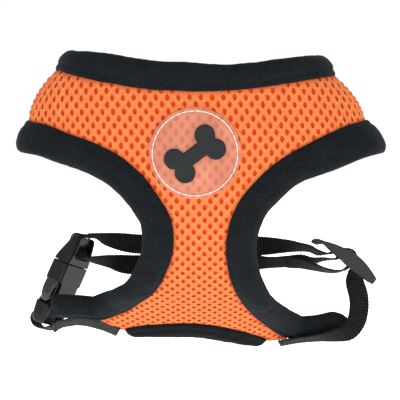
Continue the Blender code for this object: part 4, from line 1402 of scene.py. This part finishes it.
def at_buckle(long, wide, thick):
    return in_buckle(long, thick, wide)


def at_buckle_flipped(long, wide, thick):
    return in_buckle(long, thick, -wide)


def at_slider(long, out, y):
    return tuple(SLIDER_AT + SLIDER_LONG * long + SLIDER_OUT * out + np.array((0.0, y, 0.0)))


def at_slider_across(y, long, out):
    return at_slider(long, out, y)


def buckle_section(*rows):
    """Sections even about the buckle's middle: (along, half width, low, high, corner)."""
    return [(long, -half, half, low, high, corner) for long, half, low, high, corner in rows]


STRAP_SLOT = 6.3
THROUGH = 8


def buckle_socket():
    shell = loft(at_buckle, buckle_section(
        (8.3, 9.7, -4.4, 4.4, 1.3), (8.0, 9.95, -4.7, 4.7, 1.5), (2.0, 10, -4.75, 4.75, 1.5),
        (-8.0, 10, -4.7, 4.7, 1.6), (-15.0, 9.9, -4.5, 4.5, 1.9), (-20.0, 9.5, -4.1, 4.1, 2.0),
        (-23.0, 8.9, -3.5, 3.5, 2.0), (-24.1, 8.2, -2.6, 2.6, 1.8),
    ))
    cuts = [loft(at_buckle, buckle_section((9.0, 8.4, -3.3, 3.3, 1.0), (-15.0, 8.4, -3.1, 3.1, 1.0)))]
    for low, high in ((-12.0, -6.9), (6.9, 12.0)):
        cuts.append(prism(at_buckle, rounded(-14.0, -1.8, low, high, 2.2), -6, 6))
    for start, end, low, high in (
        (-30.0, -16.4, 2.2, THROUGH), (-30.0, -16.4, -THROUGH, -2.2),
        (-18.6, -16.4, -THROUGH, THROUGH), (-30.0, -22.4, -THROUGH, THROUGH),
    ):
        cuts.append(prism(at_buckle, rounded(start, end, -STRAP_SLOT, STRAP_SLOT, 0.8), low, high))
    carved("buckle_female", "buckle_socket", "vest", PLASTIC, [shell], cuts)


def buckle_plug():
    block = loft(at_buckle, buckle_section(
        (8.6, 9.7, -4.4, 4.4, 1.4), (9.0, 10, -4.7, 4.7, 1.5), (12.5, 9.6, -4.0, 4.75, 1.7),
        (18.0, 8.5, -2.5, 4.6, 1.9), (22.0, 7.7, -1.5, 4.1, 1.9), (23.4, 7.2, -0.9, 3.3, 1.5),
    ))
    opening = prism(at_buckle, rounded(12.2, 30.0, -6.1, 6.1, 1.2), -THROUGH, 12)
    carved("buckle_male", "buckle_plug", "buckle_male_half", PLASTIC, [block], [opening])
    for name, *rows in (
        ("bar", (18.3, 7, -1.6, 1.6, 1.2), (20.6, 7, -2.3, 2.3, 1.2), (22.9, 7, -1.6, 1.6, 1.2)),
        ("root", (9.5, 8.1, -2.7, 2.7, 0.8), (5.6, 8.0, -2.6, 2.6, 0.8)),
        ("guide", (6.0, 2.3, -2.2, 2.2, 0.7), (0.6, 1.6, -1.8, 1.8, 0.7)),
    ):
        solid = loft(at_buckle, buckle_section(*rows))
        carved("buckle_male", "buckle_plug_" + name, "buckle_male_half", PLASTIC, [solid], rounds=4)


def buckle_arms():
    """Each arm bows out to a gripping pad that shows in the socket's side window."""
    for node, name, body, place in (
        ("buckle_prong_left", "buckle_arm_left", "prong_left", at_buckle),
        ("buckle_prong_right", "buckle_arm_right", "prong_right", at_buckle_flipped),
    ):
        arm = loft(place, [
            (6.0, -5.6, -3.6, -1.9, 1.9, 0.8), (1.0, -7.6, -5.7, -2.0, 2.0, 0.8),
            (-3.0, -8.3, -6.3, -2.1, 2.1, 0.8), (-9.5, -8.0, -6.2, -2.0, 2.0, 0.8),
        ])
        pad = []
        for u in np.linspace(0, 1, 13):
            full = (1 - (0.02 + 0.96 * u) ** 3.0) ** 0.5
            swell = math.sin(math.pi * min(1, 0.16 + 0.86 * u)) ** 0.6
            half = 3.9 * full
            pad.append((-1.4 - 12.2 * u, -8.9 - 1.9 * swell, -6.6, -half, half, max(0.2, 1.9 * full)))
        carved(node, name, body, GLOSS_PLASTIC, [loft(place, pad), arm], voxel=0.15, rounds=8)


SLIDER_SIDE = [
    (13.6, 2.05), (10.5, 3.1), (7.2, 4.0), (2.2, 4.7), (-1.4, 5.2), (-5.6, 4.8), (-9.0, 4.1), (-12.1, 3.05),
    (-15.2, 1.8), (-17.7, 0.5), (-17.9, -1.3), (-17.4, -3.0), (-13.7, -2.9), (-6.6, -2.6), (1.6, -1.35),
    (8.3, -0.35), (13.3, 0.5), (15.6, -0.6), (16.9, -2.0), (18.1, -1.9), (18.3, -0.7), (17.2, 0.9),
    (15.6, 1.7),
]


def slider_frame():
    """Two curved rails joined by three bars."""
    side = np.array(SLIDER_SIDE)
    side = spline(np.vstack([side, side[:1]]), 5)[:-1]
    inner = side.mean(0) + (side - side.mean(0)) * 0.93
    pieces = []
    for sign in (-1, 1):
        verts = []
        for outline, y in ((inner, 8.6), (side, 8.1), (side, 6.6), (inner, 6.2)):
            verts += [at_slider(long, out, sign * y) for long, out in outline]
        pieces.append((verts, grid_faces(4, len(side))))
    for long, out, a, b in ((-15.4, -1.0, 1.6, 1.5), (0.0, -0.1, 1.7, 1.3), (15.6, 0.3, 1.5, 0.9)):
        box = (long - a, long + a, out - b, out + b, min(a, b) * 0.8)
        pieces.append(loft(at_slider_across, [(-7.4, *box), (7.4, *box)]))
    carved("slider", "strap_slider_frame", "strap_slider", SATIN_PLASTIC, pieces, voxel=0.2)


# ---------------------------------------------------------------- shoulder seams

SEAM_TAPE = np.array([
    (-2.6, 0.9), (-2.4, 1.25), (-1.2, 1.4), (0.0, 1.3), (1.2, 1.4), (2.4, 1.25), (2.6, 0.9), (2.4, -1.2),
    (0.0, -1.35), (-2.4, -1.2),
])
SEAM_STITCHES = 7


def side_seams():
    """A tape and two rows of lock stitches where chest panel and nape band join at the shoulders."""
    neck = form_path(NECK_LOOP, PATH_STEP)
    for word, sign, arm in (("left", -1, ARM_LEFT), ("right", 1, ARM_RIGHT)):
        arm = form_path([q for q in arm if abs(q[0]) > 60 and q[1] < WINGS_ABOVE], PATH_STEP)
        top = level(neck, sign * 90) + 3.0
        low = level(arm, sign * 90) - 3.0
        lines = []
        for degrees in (88.3, 91.7):
            for i in range(SEAM_STITCHES):
                v = top + (low - top) * (np.array((i + 0.1, i + 0.82)) / SEAM_STITCHES)
                ends = on_form(np.full(2, sign * degrees), v, np.full(2, 1.35))
                lines.append((ends[0], ends[1], (sign, 0, 0)))
        places = np.linspace(top - 5.0, low + 5.0, 24)
        angle, off = SEAM_TAPE.T
        rings = np.array([on_form(sign * (90 + angle), np.full(len(angle), v), off) for v in places])
        uv = np.stack(np.broadcast_arrays(angle * 1.2, places[:, None]), -1).reshape(-1, 2)
        tape = swept("shoulder_tape_" + word, rings, LINING_CLOTH, uv=uv)
        seam = stitches("shoulder_seam_" + word, lines, 0.5, ORANGE_THREAD)
        for piece in (tape, seam):
            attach(piece, "vest")


studio()
make_mesh_cloth()
side_seams()
make_bindings()
make_webbing()
badge_disc()
raised_mark()
badge_stitches()
buckle_socket()
buckle_plug()
buckle_arms()
slider_frame()
d_ring()
